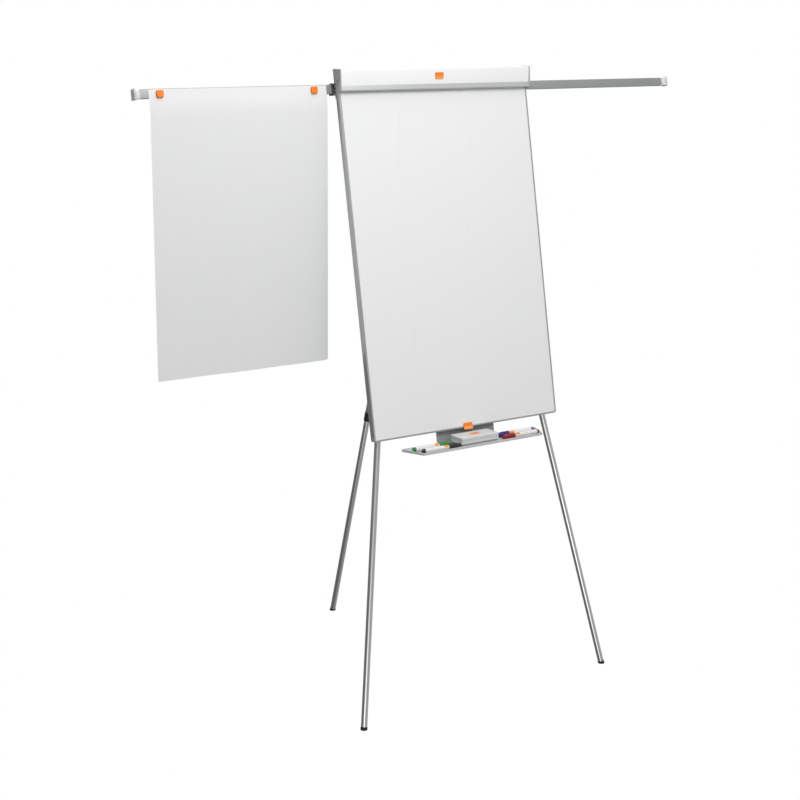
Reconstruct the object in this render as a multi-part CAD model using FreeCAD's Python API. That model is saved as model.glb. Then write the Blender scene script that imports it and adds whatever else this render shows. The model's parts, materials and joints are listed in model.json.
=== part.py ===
import FreeCAD, Part
import math
import os

# Tripod flipchart easel with two side arms, a clamp bar, a pen tray and telescopic legs.
# Sizes are in millimetres. World axes: X to the viewer's right, Y away from the viewer, Z up,
# origin on the floor at the middle of the footprint.
# The board leans back. Its own axes are x (right), n (backwards, square to the board, 0 on the
# front face) and s (up along the board, 0 at the bottom edge).

# ---- overall sizes
board_width = 690.0
board_height = 1040.0
board_depth = 20.0
board_lift = 834.5          # height of the board's front bottom edge above the floor
recline = 10.2              # lean of the board, degrees
front_splay = 10.1          # each front leg from the board's centre line, degrees
rear_splay = 17.3           # rear leg from the vertical, degrees
arm_reach = 613.0           # bare length of a side arm outside the board when pulled out
arm_engagement = 70.0       # length that stays in the channel when pulled out

# ---- clearances
slide_gap = 0.4             # flat pieces that slide along each other
running_gap = 0.05          # round pieces that turn or slide in a bore, radial
free_gap = 0.5              # pieces that pass each other

# ---- board
rail_wall = 1.5
rail_lip = 5.0
rail_back_lip = 9.0
skin = 0.8                  # writing sheet and back sheet
corner_size = 12.0
corner_radius = 7.0

# ---- clamp
clamp_axis_n = -6.0
clamp_axis_s = board_height + 16.0
clamp_backlip = 8.0         # height of the bar's rear lip
clamp_pin_r = 3.0
clamp_pin_grip = 26.0       # length of the pin inside the bar
clamp_wall = 2.0
clamp_foot_n = -15.5        # front of the bar at its lower edge
clamp_top_n = -24.0         # front of the bar at its upper edge
clamp_top_s = board_height + 45.5
clamp_back_n = 3.0
cheek_wall = 4.0
cheek_back_n = board_depth - 4.0
cheek_rim = 1.5             # cheek above the bar's top
cheek_proud = 1.0           # cheek in front of the bar's top edge
cheek_foot_proud = 0.5
cheek_below = 1.0           # cheek's foot below the grip strip
cheek_foot_back = 5.5       # back of the narrow foot, from the board's front
cheek_step_front = 8.0      # shoulder above the board, at the foot and at the back
cheek_step_back = 12.0
cheek_round = 2.0
knuckle_wall = 2.5
knuckle_r = clamp_pin_r + knuckle_wall
spring_pocket = 13.0
pocket_room = 2.5           # pocket beyond the knuckle, for the spring
spring_clear = 0.6          # spring to pin, radial
spring_leg = 9.0
spring_wire_r = 0.7
spring_turns = 5
spring_pitch = 1.9
grip_toe_s = board_height - 16.5
grip_heel_rise = 1.0        # heel above the toe
grip_proud = 0.5            # strip in front of the bar's foot
grip_cover = 1.0            # strip behind the bar's wall
grip_bevel = 3.0
grip_lip = 5.0
base_wall = 3.5
base_back_s = board_height + 22.0
peg_r = 2.2
peg_length = 8.0
peg_offset = 105.0          # peg from the centre line
peg_travel = 45.0
peg_head_r = 3.3
peg_slot_extra = 3.0

# ---- side arms and their channel
arm_height = 27.0
arm_depth = 9.0
arm_wall = 1.6
arm_centre_s = board_height - 2.5
channel_wall = 2.4
channel_lip = 1.5           # height of the lips that hold an arm
channel_lip_wall = 1.6
channel_foot = 15.0
bush_wall = 4.0
bush_rim = 1.0
bush_round = 2.0
arm_round = 1.0
cap_neck = 13.0
cap_flange = 4.0
cap_overlap = 2.5
cap_front_set = 0.5         # flange's front behind the overlap
cap_neck_step = 1.0         # neck behind the flange, front and back
cap_neck_inset = 0.5        # neck inside the bar's height
cap_neck_round = 2.0
cap_flange_round = 3.0
cap_plug_gap = 0.1
cap_plug = 20.0

# ---- sheet of paper on the left arm
sheet_board_gap = 22.0      # sheet's inner edge from the board
sheet_drop = 812.0
sheet_thickness = 0.4
sheet_inset = 25.0          # sheet's outer edge from the bar's end
sheet_width = arm_reach - sheet_inset - sheet_board_gap
sheet_top_gap = 1.7         # sheet's top edge under the arm's top edge
magnet_side = 20.5
magnet_depth = 8.5
magnet_corner = 3.0
magnet_outer = 32.0         # magnet centre from the sheet's outer edge
magnet_inner = 43.0         # magnet centre from the sheet's inner edge
magnet_gap = 4.1            # magnet to the board's back when the arm is in

# ---- legs
pivot_drop = 80.0           # leg pivots below the board's top edge
leg_top_s = board_height - pivot_drop
front_pivot_x = 141.4
outer_tube_r = 11.0
outer_wall = 1.0
inner_wall = 1.2
tube_gap = 0.5              # inner tube to outer tube, filled by the guide bush
inner_tube_r = outer_tube_r - outer_wall - tube_gap
leg_clearance = 0.6         # front tubes to the head plate
fork_reach = 63.0           # rear pivot behind the board
collar_below = -4.0         # front collars' lower edge below the board's edge, along the board
rear_tube_extra = 100.9      # rear outer tube longer than the front ones
collar_length = 32.0
collar_seat = 14.0          # length of outer tube inside the collar
collar_wall = 1.0
collar_edge = 0.8
tube_overlap = 70.0         # inner tube inside the outer tube at rest
foot_height = 8.0
foot_plug = 20.0
foot_extra_r = 0.9
bush_length = 12.0
tongue_drop = 22.0
tongue_width = 2 * outer_tube_r - 4.0
front_tongue = 12.0
rear_tongue = 18.0
shoulder = 4.0
spigot = 34.0
bolt_r = 3.0
bolt_head_r = 5.5
bolt_head = 4.0

# ---- head behind the board
head_wall = 3.0
head_beside = 30.6          # head plate beyond the front legs' pivots
head_half_width = front_pivot_x + head_beside
head_height = 76.0
head_flange = 9.0
ear_wall = 2.5
ear_r = 12.0
ear_root = 26.0             # half height of the ears at the plate
root_margin = 8.0           # fork's base beside the ears
root_rim = 2.0              # fork's base above and below the ears

# ---- pen tray
tray_front_half = 222.0
tray_back_half = 255.0
tray_front_y = -80.6        # from the board's front bottom edge
tray_back_y = -2.0
tray_drop = 41.0            # underside below the board's front bottom edge
tray_wall = 1.5
tray_rim = 8.0
tray_corner = 4.0
bracket_half = 109.0
bracket_wall = 2.5
bracket_cover = 62.0        # height of the bracket on the board's back
tray_ledge = 48.0
bracket_spare = 6.0         # back plate below the bend, before it is trimmed level

# ---- things kept on the tray
marker_r = 8.0
marker_length = 138.0
marker_cap = 44.0
marker_plug = 8.0
marker_cap_wall = 1.0
marker_barrel_in_cap = 12.0
left_marker_back = (10.6, 46.6)       # outer end from the tray's side, axis from the tray's front
left_marker_front = (11.0, 16.6)
right_marker_back = (19.6, 46.6)
right_marker_front = (7.8, 18.6)
eraser_centre_x = -6.5
eraser_width = 141.0
eraser_depth = 64.0
eraser_front_gap = 9.6
eraser_shell_height = 20.5
eraser_felt_height = 8.0
eraser_corner = 5.0
eraser_edge = 3.0
felt_inset = 3.0
tray_set_down = 0.3

# ---- plain badges: one on the clamp bar, one clipped over the board's bottom edge
badge_wall = 1.2
clamp_badge_x = 2.2
clamp_badge_width = 31.5
clamp_badge_low_s = board_height + 12.8
clamp_badge_high_s = board_height + 32.8
board_badge_x = -3.5
board_badge_width = 33.7
board_badge_top_s = 14.0
board_badge_knee_s = 6.0
board_badge_front = 4.5
board_badge_foot = 6.0
board_badge_hook = 8.0

# ---- fasteners
screw_r = 2.0
screw_head_r = 4.0
screw_head = 2.0
screw_bite = 9.0
screw_inset = 12.0          # screw centre from the head plate's ends
head_screw_x = 70.0
bracket_screw_inset = 20.0
bracket_screw_drop = 16.0
head_screw_drop = 24.0
channel_screw_shares = (-0.8, -0.3, 0.3, 0.8)

V = FreeCAD.Vector
half = board_width / 2.0
lean = math.radians(recline)
world_x = V(1, 0, 0)

arm_front_n = board_depth + magnet_gap + magnet_depth + sheet_thickness
front_leg_n = board_depth + head_wall + leg_clearance + outer_tube_r
rear_leg_n = board_depth + fork_reach
front_collar_drop = (leg_top_s + collar_below) / math.cos(math.radians(front_splay))
rear_collar_drop = front_collar_drop + rear_tube_extra

# Front feet stand where the leg plane meets the floor, the rear foot where its line does.
leg_plane_lift = board_lift - front_leg_n * math.sin(lean)
front_floor_s = -leg_plane_lift / math.cos(lean)
front_foot_y = front_leg_n * math.cos(lean) + front_floor_s * math.sin(lean)
rear_pivot_y = rear_leg_n * math.cos(lean) + leg_top_s * math.sin(lean)
rear_pivot_z = board_lift + leg_top_s * math.cos(lean) - rear_leg_n * math.sin(lean)
rear_foot_y = rear_pivot_y + rear_pivot_z * math.tan(math.radians(rear_splay))
board_y = -(front_foot_y + rear_foot_y) / 2.0

front_leg_length = (leg_top_s - front_floor_s) / math.cos(math.radians(front_splay))
rear_leg_length = rear_pivot_z / math.cos(math.radians(rear_splay))

os.makedirs("parts", exist_ok=True)
nodes = {}


def keep(name, shape):
    """Remember a node under its name."""
    nodes[name] = shape


def on_board(shape):
    """Carry a shape from board axes (x, n, s) to the world."""
    placed = shape.copy()
    placed.rotate(V(0, 0, 0), world_x, -recline)
    placed.translate(V(0, board_y, board_lift))
    return placed


def block(x0, x1, y0, y1, z0, z1):
    """Box between two corners."""
    return Part.makeBox(x1 - x0, y1 - y0, z1 - z0, V(x0, y0, z0))


def profile(points, x0, x1):
    """Extrude an outline of (n, s) points along x."""
    wire = Part.makePolygon([V(x0, n, s) for n, s in points + points[:1]])
    return Part.Face(wire).extrude(V(x1 - x0, 0, 0))


def rod(radius, start, end):
    """Round bar between two points."""
    return Part.makeCylinder(radius, (end - start).Length, start, end - start)


def pipe(radius, wall, start, end):
    """Round tube between two points."""
    return rod(radius, start, end).cut(rod(radius - wall, start, end))


def group(shapes):
    """Separate solids in one node."""
    return Part.makeCompound(shapes)


def round_edges(shape, radius, axis):
    """Round the straight edges that run along an axis."""
    picked = []
    for edge in shape.Edges:
        if edge.Curve.TypeId != "Part::GeomLine":
            continue
        along = edge.tangentAt(edge.FirstParameter)
        if abs(along.dot(axis)) > 0.999:
            picked.append(edge)
    return shape.makeFillet(radius, picked)


def screw(x, n, s, direction):
    """Pan-head screw in board axes; direction is +1 when its head faces +n."""
    tip = V(x, n - direction * screw_bite, s)
    seat = V(x, n, s)
    top = V(x, n + direction * screw_head, s)
    return rod(screw_r, tip, seat).fuse(rod(screw_head_r, seat, top)).removeSplitter()


# ---- board: aluminium frame, enamelled steel sheet, core and back sheet
def frame_rail(length):
    """C-shaped rail lying along x, open upwards, its outer web at s = 0."""
    web = block(0, length, 0, board_depth, 0, rail_wall)
    lip = block(0, length, 0, rail_wall, 0, rail_lip)
    back = block(0, length, board_depth - rail_wall, board_depth, 0, rail_back_lip)
    return web.fuse(lip).fuse(back).removeSplitter()


def rounded_corner(inset, size, n0, n1, radius):
    """Block at the board's lower left corner, rounded on its outer edge."""
    corner = block(-half + inset, -half + size, n0, n1, inset, size)
    outer = [e for e in corner.Edges
             if abs(e.CenterOfMass.x + half - inset) < 0.01 and abs(e.CenterOfMass.z - inset) < 0.01]
    return corner.makeFillet(radius, outer)


def make_board():
    run = board_width - 2 * corner_size
    bottom = frame_rail(run)
    bottom.translate(V(-run / 2, 0, 0))
    keep("frame_rail_bottom", on_board(bottom))
    top = bottom.mirror(V(0, 0, board_height / 2), V(0, 0, 1))
    keep("frame_rail_top", on_board(top))
    rise = board_height - 2 * corner_size
    side = frame_rail(rise)
    side.rotate(V(0, 0, 0), V(0, 1, 0), -90)
    side = side.mirror(V(0, 0, 0), V(1, 0, 0))
    side.translate(V(-half, 0, corner_size))
    keep("frame_rail_left", on_board(side))
    keep("frame_rail_right", on_board(side.mirror(V(0, 0, 0), V(1, 0, 0))))

    corner = rounded_corner(0, corner_size, 0, board_depth, corner_radius)
    inside = rounded_corner(rail_wall, 2 * corner_size, rail_wall, board_depth - rail_wall,
                            corner_radius - rail_wall)
    window = block(-half + rail_lip, half, -1, board_depth + 1, rail_lip, board_height)
    corner = corner.cut(inside).cut(window)
    flip_x = corner.mirror(V(0, 0, 0), V(1, 0, 0))
    upper = [c.mirror(V(0, 0, board_height / 2), V(0, 0, 1)) for c in (corner, flip_x)]
    keep("frame_corners", on_board(group([corner, flip_x] + upper)))

    fit = rail_wall + slide_gap / 2
    notch = corner_radius
    x_in = half - fit

    def panel(n0, n1):
        sheet = block(-x_in, x_in, n0, n1, fit, board_height - fit)
        return round_edges(sheet, notch, V(0, 1, 0))

    keep("writing_panel", on_board(panel(rail_wall, rail_wall + skin)))
    keep("board_core", on_board(panel(rail_wall + skin, board_depth - rail_wall - skin)))
    keep("back_sheet", on_board(panel(board_depth - rail_wall - skin, board_depth - rail_wall)))


# ---- clamp: base on the top rail, sprung rocker bar with a grip edge, cheeks and stub pins
def clamp_slant(s):
    """Front face of the bar at a height along the board."""
    share = (s - board_height) / (clamp_top_s - board_height)
    return clamp_foot_n + share * (clamp_top_n - clamp_foot_n)


def make_clamp():
    level = math.tan(lean)          # rise along s that keeps an edge level in the world
    base = profile([(rail_wall, board_height),
                    (board_depth, board_height),
                    (board_depth, base_back_s),
                    (board_depth - base_wall, base_back_s),
                    (board_depth - base_wall, board_height + base_wall),
                    (rail_wall + base_wall, board_height + base_wall),
                    (rail_wall + base_wall, board_height + 3 * base_wall),
                    (rail_wall, board_height + 3 * base_wall)], -half, half)
    slot_s = board_height + base_wall + peg_head_r + slide_gap
    for side in (-1, 1):
        reach = peg_travel + peg_r + peg_slot_extra
        centre = side * peg_offset
        slot = block(centre - reach, centre + reach, rail_wall - 1, rail_wall + base_wall + 1,
                     slot_s - peg_r - running_gap, slot_s + peg_r + running_gap)
        base = base.cut(slot)
        front = rail_wall - slide_gap
        back = rail_wall + base_wall + slide_gap
        peg = rod(peg_r, V(centre, front - peg_length, slot_s), V(centre, back, slot_s))
        head = rod(peg_head_r, V(centre, back, slot_s), V(centre, back + base_wall / 2, slot_s))
        collar = rod(peg_head_r, V(centre, front - base_wall / 2, slot_s), V(centre, front, slot_s))
        name = "pad_peg_left" if side < 0 else "pad_peg_right"
        keep(name, on_board(peg.fuse(head).fuse(collar).removeSplitter()))
    keep("clamp_base", on_board(base))

    x_end = half - free_gap
    top_back_s = clamp_top_s + (clamp_back_n - clamp_top_n) * level
    inner = clamp_wall
    turn = math.atan2(clamp_foot_n - clamp_top_n, clamp_top_s - board_height)
    corner_n = clamp_top_n + inner * (1 + math.sin(turn + lean)) / math.cos(turn + lean)
    corner_s = clamp_top_s - inner
    wall = profile([(clamp_foot_n, board_height),
                    (clamp_top_n, clamp_top_s),
                    (clamp_back_n, top_back_s),
                    (clamp_back_n, top_back_s - clamp_backlip),
                    (clamp_back_n - inner, top_back_s - clamp_backlip),
                    (clamp_back_n - inner, corner_s + (clamp_back_n - inner - clamp_top_n) * level),
                    (corner_n, corner_s + (corner_n - clamp_top_n) * level),
                    (clamp_foot_n + inner, board_height)], -x_end, x_end)
    web_s = clamp_axis_s - inner / 2
    web = profile([(clamp_slant(web_s) + inner / 2, web_s),
                   (clamp_axis_n - clamp_pin_r - inner / 2, web_s),
                   (clamp_axis_n - clamp_pin_r - inner / 2, web_s + inner),
                   (clamp_slant(web_s + inner) + inner / 2, web_s + inner)], -x_end, x_end)
    axis_left = V(-x_end, clamp_axis_n, clamp_axis_s)
    axis_right = V(x_end, clamp_axis_n, clamp_axis_s)
    knuckle = rod(knuckle_r, axis_left, axis_right)
    bore = rod(clamp_pin_r + running_gap, axis_left, axis_right)
    pocket_r = knuckle_r + pocket_room
    bar = wall.fuse(web).fuse(knuckle).cut(bore)
    for side in (-1, 1):
        x0, x1 = sorted((side * (x_end - spring_pocket), side * (x_end + 1)))
        pocket = block(x0, x1, clamp_axis_n - knuckle_r, clamp_axis_n + pocket_r,
                       clamp_axis_s - pocket_r, clamp_axis_s + pocket_r)
        bar = bar.cut(pocket)
    keep("clamp_bar", on_board(bar.removeSplitter()))

    toe = grip_toe_s
    front = clamp_foot_n - grip_proud
    back = clamp_foot_n + inner + grip_cover
    grip = profile([(-slide_gap, toe + grip_heel_rise), (front + grip_bevel, toe), (front, toe + grip_bevel),
                    (front, board_height), (back, board_height), (back, toe + grip_lip),
                    (-slide_gap, toe + grip_lip)], -x_end, x_end)
    keep("clamp_grip", on_board(grip))

    low = clamp_badge_low_s
    high = clamp_badge_high_s
    badge = profile([(clamp_slant(low), low), (clamp_slant(low) - badge_wall, low),
                     (clamp_slant(high) - badge_wall, high), (clamp_slant(high), high)],
                    clamp_badge_x - clamp_badge_width / 2, clamp_badge_x + clamp_badge_width / 2)
    keep("clamp_badge", on_board(badge))

    top_s = clamp_top_s + cheek_rim
    foot_s = grip_toe_s - cheek_below
    outline = [(clamp_foot_n - cheek_foot_proud, foot_s), (cheek_foot_back, foot_s),
               (cheek_foot_back, board_height + cheek_step_front),
               (cheek_back_n, board_height + cheek_step_back),
               (cheek_back_n, top_s + (cheek_back_n - clamp_top_n) * level),
               (clamp_top_n - cheek_proud, top_s)]
    pins = []
    springs = []
    for side, name in ((-1, "clamp_cheek_left"), (1, "clamp_cheek_right")):
        x0, x1 = sorted((side * half, side * (half + cheek_wall)))
        cheek = profile(outline, x0, x1)
        cheek = round_edges(cheek, cheek_round, world_x)
        hole = rod(clamp_pin_r, V(x0 - 1, clamp_axis_n, clamp_axis_s),
                   V(x1 + 1, clamp_axis_n, clamp_axis_s))
        keep(name, on_board(cheek.cut(hole)))
        inner_x = side * (x_end - spring_pocket - clamp_pin_grip)
        pins.append(rod(clamp_pin_r, V(side * (half + cheek_wall), clamp_axis_n, clamp_axis_s),
                        V(inner_x, clamp_axis_n, clamp_axis_s)))
        springs.append(torsion_spring(side))
    keep("clamp_pins", on_board(group(pins)))
    keep("clamp_springs", on_board(group(springs)))


def torsion_spring(side):
    """Coil round a stub pin, with a straight leg that rests on the clamp base."""
    coil_r = clamp_pin_r + spring_clear + spring_wire_r
    path = Part.makeHelix(spring_pitch, spring_pitch * spring_turns, coil_r)
    section = Part.Wire(Part.Circle(V(coil_r, 0, 0), V(0, 1, 0), spring_wire_r).toShape())
    coil = Part.Wire(path).makePipeShell([section], True, True)
    spring = coil.fuse(rod(spring_wire_r, V(coil_r, 0, 0), V(coil_r, spring_leg, 0)))
    spring.rotate(V(0, 0, 0), V(0, 1, 0), 90)
    start = half - free_gap - 1.0 if side > 0 else -half + free_gap + 1.0
    if side > 0:
        start -= spring_pitch * spring_turns
    spring.translate(V(start, clamp_axis_n, clamp_axis_s))
    return spring


# ---- arm channel and side arms
arm_low_s = arm_centre_s - arm_height / 2
arm_high_s = arm_centre_s + arm_height / 2
track_low = arm_low_s - slide_gap
track_high = arm_high_s + slide_gap
lip_front_n = arm_front_n - slide_gap - channel_lip_wall
mid_lip_n = arm_front_n + arm_depth + slide_gap
rear_arm_n = mid_lip_n + channel_lip_wall + slide_gap
channel_back_n = rear_arm_n + arm_depth + slide_gap
arm_travel = arm_reach - bush_wall - cap_overlap
bush_depth = arm_depth + 2 * slide_gap + channel_lip_wall + channel_wall


def lips(n0, x0, x1):
    """Upper and lower lip that keep an arm in its track."""
    n1 = n0 + channel_lip_wall
    lower = block(x0, x1, n0, n1, track_low - channel_wall / 2, track_low + slide_gap + channel_lip)
    upper = block(x0, x1, n0, n1, track_high - slide_gap - channel_lip, track_high + channel_wall / 2)
    return lower.fuse(upper)


def make_channel():
    floor = block(-half, half, board_depth, channel_back_n + channel_wall,
                  track_low - channel_wall, track_low)
    roof = block(-half, half, board_depth, channel_back_n + channel_wall,
                 track_high, track_high + channel_wall)
    back = block(-half, half, channel_back_n, channel_back_n + channel_wall,
                 track_low - channel_wall, track_high + channel_wall)
    low_foot = block(-half, half, board_depth, board_depth + channel_wall,
                     track_low - channel_foot, track_low)
    channel = floor.fuse(roof).fuse(back).fuse(low_foot)
    channel = channel.fuse(lips(lip_front_n, -half, half)).fuse(lips(mid_lip_n, -half, half))
    keep("arm_channel", on_board(channel.removeSplitter()))

    for side, name, arm_n in ((-1, "arm_bush_left", arm_front_n), (1, "arm_bush_right", rear_arm_n)):
        x0, x1 = sorted((side * half, side * (half + bush_wall)))
        track_n = arm_n - slide_gap - channel_lip_wall
        outer = block(x0, x1, track_n, track_n + bush_depth,
                      track_low - channel_wall - bush_rim, track_high + channel_wall + bush_rim)
        outer = round_edges(outer, bush_round, world_x)
        mouth = block(x0 - 1, x1 + 1, arm_n - slide_gap, arm_n + arm_depth + slide_gap,
                      track_low, track_high)
        slot = block(x0 - 1, x1 + 1, track_n - 1, arm_n + 1,
                     track_low + slide_gap + channel_lip, track_high - slide_gap - channel_lip)
        keep(name, on_board(outer.cut(mouth).cut(slot)))


def arm_bar(side, arm_n):
    """Hollow flat bar; its outer end stands arm_reach outside the board."""
    outer_x = side * (half + arm_reach)
    inner_x = side * (half - arm_engagement)
    x0, x1 = sorted((outer_x, inner_x))
    bar = block(x0, x1, arm_n, arm_n + arm_depth, arm_low_s, arm_high_s)
    bar = round_edges(bar, arm_round, world_x)
    hollow = block(x0 - 1, x1 + 1, arm_n + arm_wall, arm_n + arm_depth - arm_wall,
                   arm_low_s + arm_wall, arm_high_s - arm_wall)
    return bar.cut(hollow)


def arm_cap(side, arm_n):
    """Plug, neck and flange that close a bar's outer end and cover the channel's mouth."""
    end = half + arm_reach
    front = arm_front_n - cap_overlap + cap_front_set
    back = channel_back_n + channel_wall
    low = arm_low_s - cap_overlap
    high = arm_high_s + cap_overlap

    def span(near, far, n0, n1, s0, s1):
        x0, x1 = sorted((side * near, side * far))
        return block(x0, x1, n0, n1, s0, s1)

    inset = arm_wall + cap_plug_gap
    plug = span(end - cap_plug, end, arm_n + inset, arm_n + arm_depth - inset,
                arm_low_s + inset, arm_high_s - inset)
    neck = span(end, end + cap_neck, front + cap_neck_step, back - cap_neck_step,
                arm_low_s + cap_neck_inset, arm_high_s - cap_neck_inset)
    neck = round_edges(neck, cap_neck_round, world_x)
    flange = span(end + cap_neck, end + cap_neck + cap_flange, front, back, low, high)
    flange = round_edges(flange, cap_flange_round, world_x)
    return neck.fuse(flange).fuse(plug).removeSplitter()


def make_arms():
    for side, name, arm_n in ((-1, "left", arm_front_n), (1, "right", rear_arm_n)):
        keep(name + "_arm_bar", on_board(arm_bar(side, arm_n)))
        keep(name + "_arm_cap", on_board(arm_cap(side, arm_n)))


def make_sheet():
    """Paper that follows the arm's front face and then hangs straight down."""
    face_n = arm_front_n - sheet_thickness
    top_s = arm_high_s - sheet_top_gap

    def world(n, s):
        y = board_y + n * math.cos(lean) + s * math.sin(lean)
        z = board_lift + s * math.cos(lean) - n * math.sin(lean)
        return y, z

    x0 = -(half + arm_reach - sheet_inset)
    x1 = x0 + sheet_width
    back_top = world(arm_front_n, top_s)
    front_top = world(face_n, top_s)
    back_low = world(arm_front_n, arm_low_s)
    front_low = (back_low[0] - sheet_thickness, back_low[1])
    bottom_z = back_top[1] - sheet_drop
    outline = [front_top, back_top, back_low, (back_low[0], bottom_z), (front_low[0], bottom_z), front_low]
    keep("paper_sheet", profile(outline, x0, x1))

    magnets = []
    r = magnet_side / 2
    middle_s = arm_low_s + channel_lip + slide_gap + r     # clear of the channel's lower lip
    for x in (x0 + magnet_outer, x1 - magnet_inner):
        magnet = block(x - r, x + r, face_n - magnet_depth, face_n, middle_s - r, middle_s + r)
        magnets.append(round_edges(magnet, magnet_corner, V(0, 1, 0)))
    keep("sheet_magnets", on_board(group(magnets)))


# ---- legs, drawn hanging down from their pivot at the origin
def leg_pieces(length, collar_drop, tongue_depth, bolt_axis, tilt):
    """Top joint, outer tube, collar, inner tube, guide bush and foot of one leg.

    tilt is the direction of the world's Z axis in the leg's own axes, which cuts the foot flat.
    """
    down = V(0, 0, -1)

    def at(drop):
        return down * drop

    tube_start = tongue_drop + shoulder
    bore_r = outer_tube_r - outer_wall
    if abs(bolt_axis.y) > 0.5:
        tongue = block(-tongue_width / 2, tongue_width / 2, -tongue_depth / 2, tongue_depth / 2,
                       -tongue_drop, 0)
    else:
        tongue = block(-tongue_depth / 2, tongue_depth / 2, -tongue_width / 2, tongue_width / 2,
                       -tongue_drop, 0)
    eye = rod(tongue_width / 2, bolt_axis * (-tongue_depth / 2), bolt_axis * (tongue_depth / 2))
    joint = tongue.fuse(eye).fuse(rod(outer_tube_r, at(tongue_drop), at(tube_start)))
    joint = joint.fuse(rod(bore_r, at(tube_start), at(tube_start + spigot)))
    joint = joint.cut(rod(bolt_r + running_gap, bolt_axis * -tongue_depth, bolt_axis * tongue_depth))

    collar_top = collar_drop - collar_length
    tube_end = collar_top + collar_seat
    outer = pipe(outer_tube_r, outer_wall, at(tube_start), at(tube_end))

    collar_r = outer_tube_r + running_gap + collar_wall
    collar = rod(collar_r, at(collar_top), at(collar_drop))
    collar = collar.cut(rod(outer_tube_r + running_gap, at(collar_top - 1), at(tube_end + running_gap)))
    collar = collar.cut(rod(inner_tube_r + running_gap, at(tube_end), at(collar_drop + 1)))
    collar = collar.makeFillet(collar_edge, [e for e in collar.Edges
                                     if e.Length > 2 * math.pi * collar_r - 0.1
                                     and e.Curve.TypeId == "Part::GeomCircle"])

    inner_end = length - foot_height
    inner_start = tube_end - tube_overlap
    inner = pipe(inner_tube_r, inner_wall, at(inner_start), at(inner_end))
    guide = pipe(bore_r - running_gap, bore_r - running_gap - inner_tube_r, at(inner_start),
                 at(inner_start + bush_length))

    foot = rod(inner_tube_r + foot_extra_r, at(inner_end), at(length + inner_tube_r))
    foot = foot.fuse(rod(inner_tube_r - inner_wall, at(inner_end - foot_plug), at(inner_end)))
    ground = Part.makeCylinder(4 * inner_tube_r, 4 * inner_tube_r, at(length), tilt * -1)
    foot = foot.cut(ground).removeSplitter()
    return {"top_joint": joint.removeSplitter(), "outer_tube": outer, "collar": collar,
            "inner_tube": inner, "guide_bush": guide, "foot": foot}


def make_legs():
    up = V(0, 0, 1)
    for side, name in ((-1, "front_left"), (1, "front_right")):
        turn = -side * front_splay      # about n, swings the foot outwards
        to_leg = FreeCAD.Rotation(world_x, -recline).multiply(FreeCAD.Rotation(V(0, 1, 0), turn))
        tilt = to_leg.inverted().multVec(up)
        pieces = leg_pieces(front_leg_length, front_collar_drop, front_tongue, V(0, 1, 0), tilt)
        for piece, shape in pieces.items():
            shape.rotate(V(0, 0, 0), V(0, 1, 0), turn)
            shape.translate(V(side * front_pivot_x, front_leg_n, leg_top_s))
            keep(name + "_" + piece, on_board(shape))
    to_leg = FreeCAD.Rotation(world_x, rear_splay)
    tilt = to_leg.inverted().multVec(up)
    pieces = leg_pieces(rear_leg_length, rear_collar_drop, rear_tongue, world_x, tilt)
    for piece, shape in pieces.items():
        shape.rotate(V(0, 0, 0), world_x, rear_splay)
        shape.translate(V(0, board_y + rear_pivot_y, rear_pivot_z))
        keep("rear_" + piece, shape)


def make_board_badge():
    """Wedge on the board's face with a foot that hooks under the bottom rail."""
    front = -board_badge_front
    outline = [(0, 0), (0, board_badge_top_s), (-badge_wall, board_badge_top_s),
               (-badge_wall, board_badge_knee_s), (front, -board_badge_foot / 2),
               (front, -board_badge_foot), (board_badge_hook, -board_badge_foot), (board_badge_hook, 0)]
    keep("board_badge", on_board(profile(outline, board_badge_x - board_badge_width / 2,
                                         board_badge_x + board_badge_width / 2)))


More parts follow.
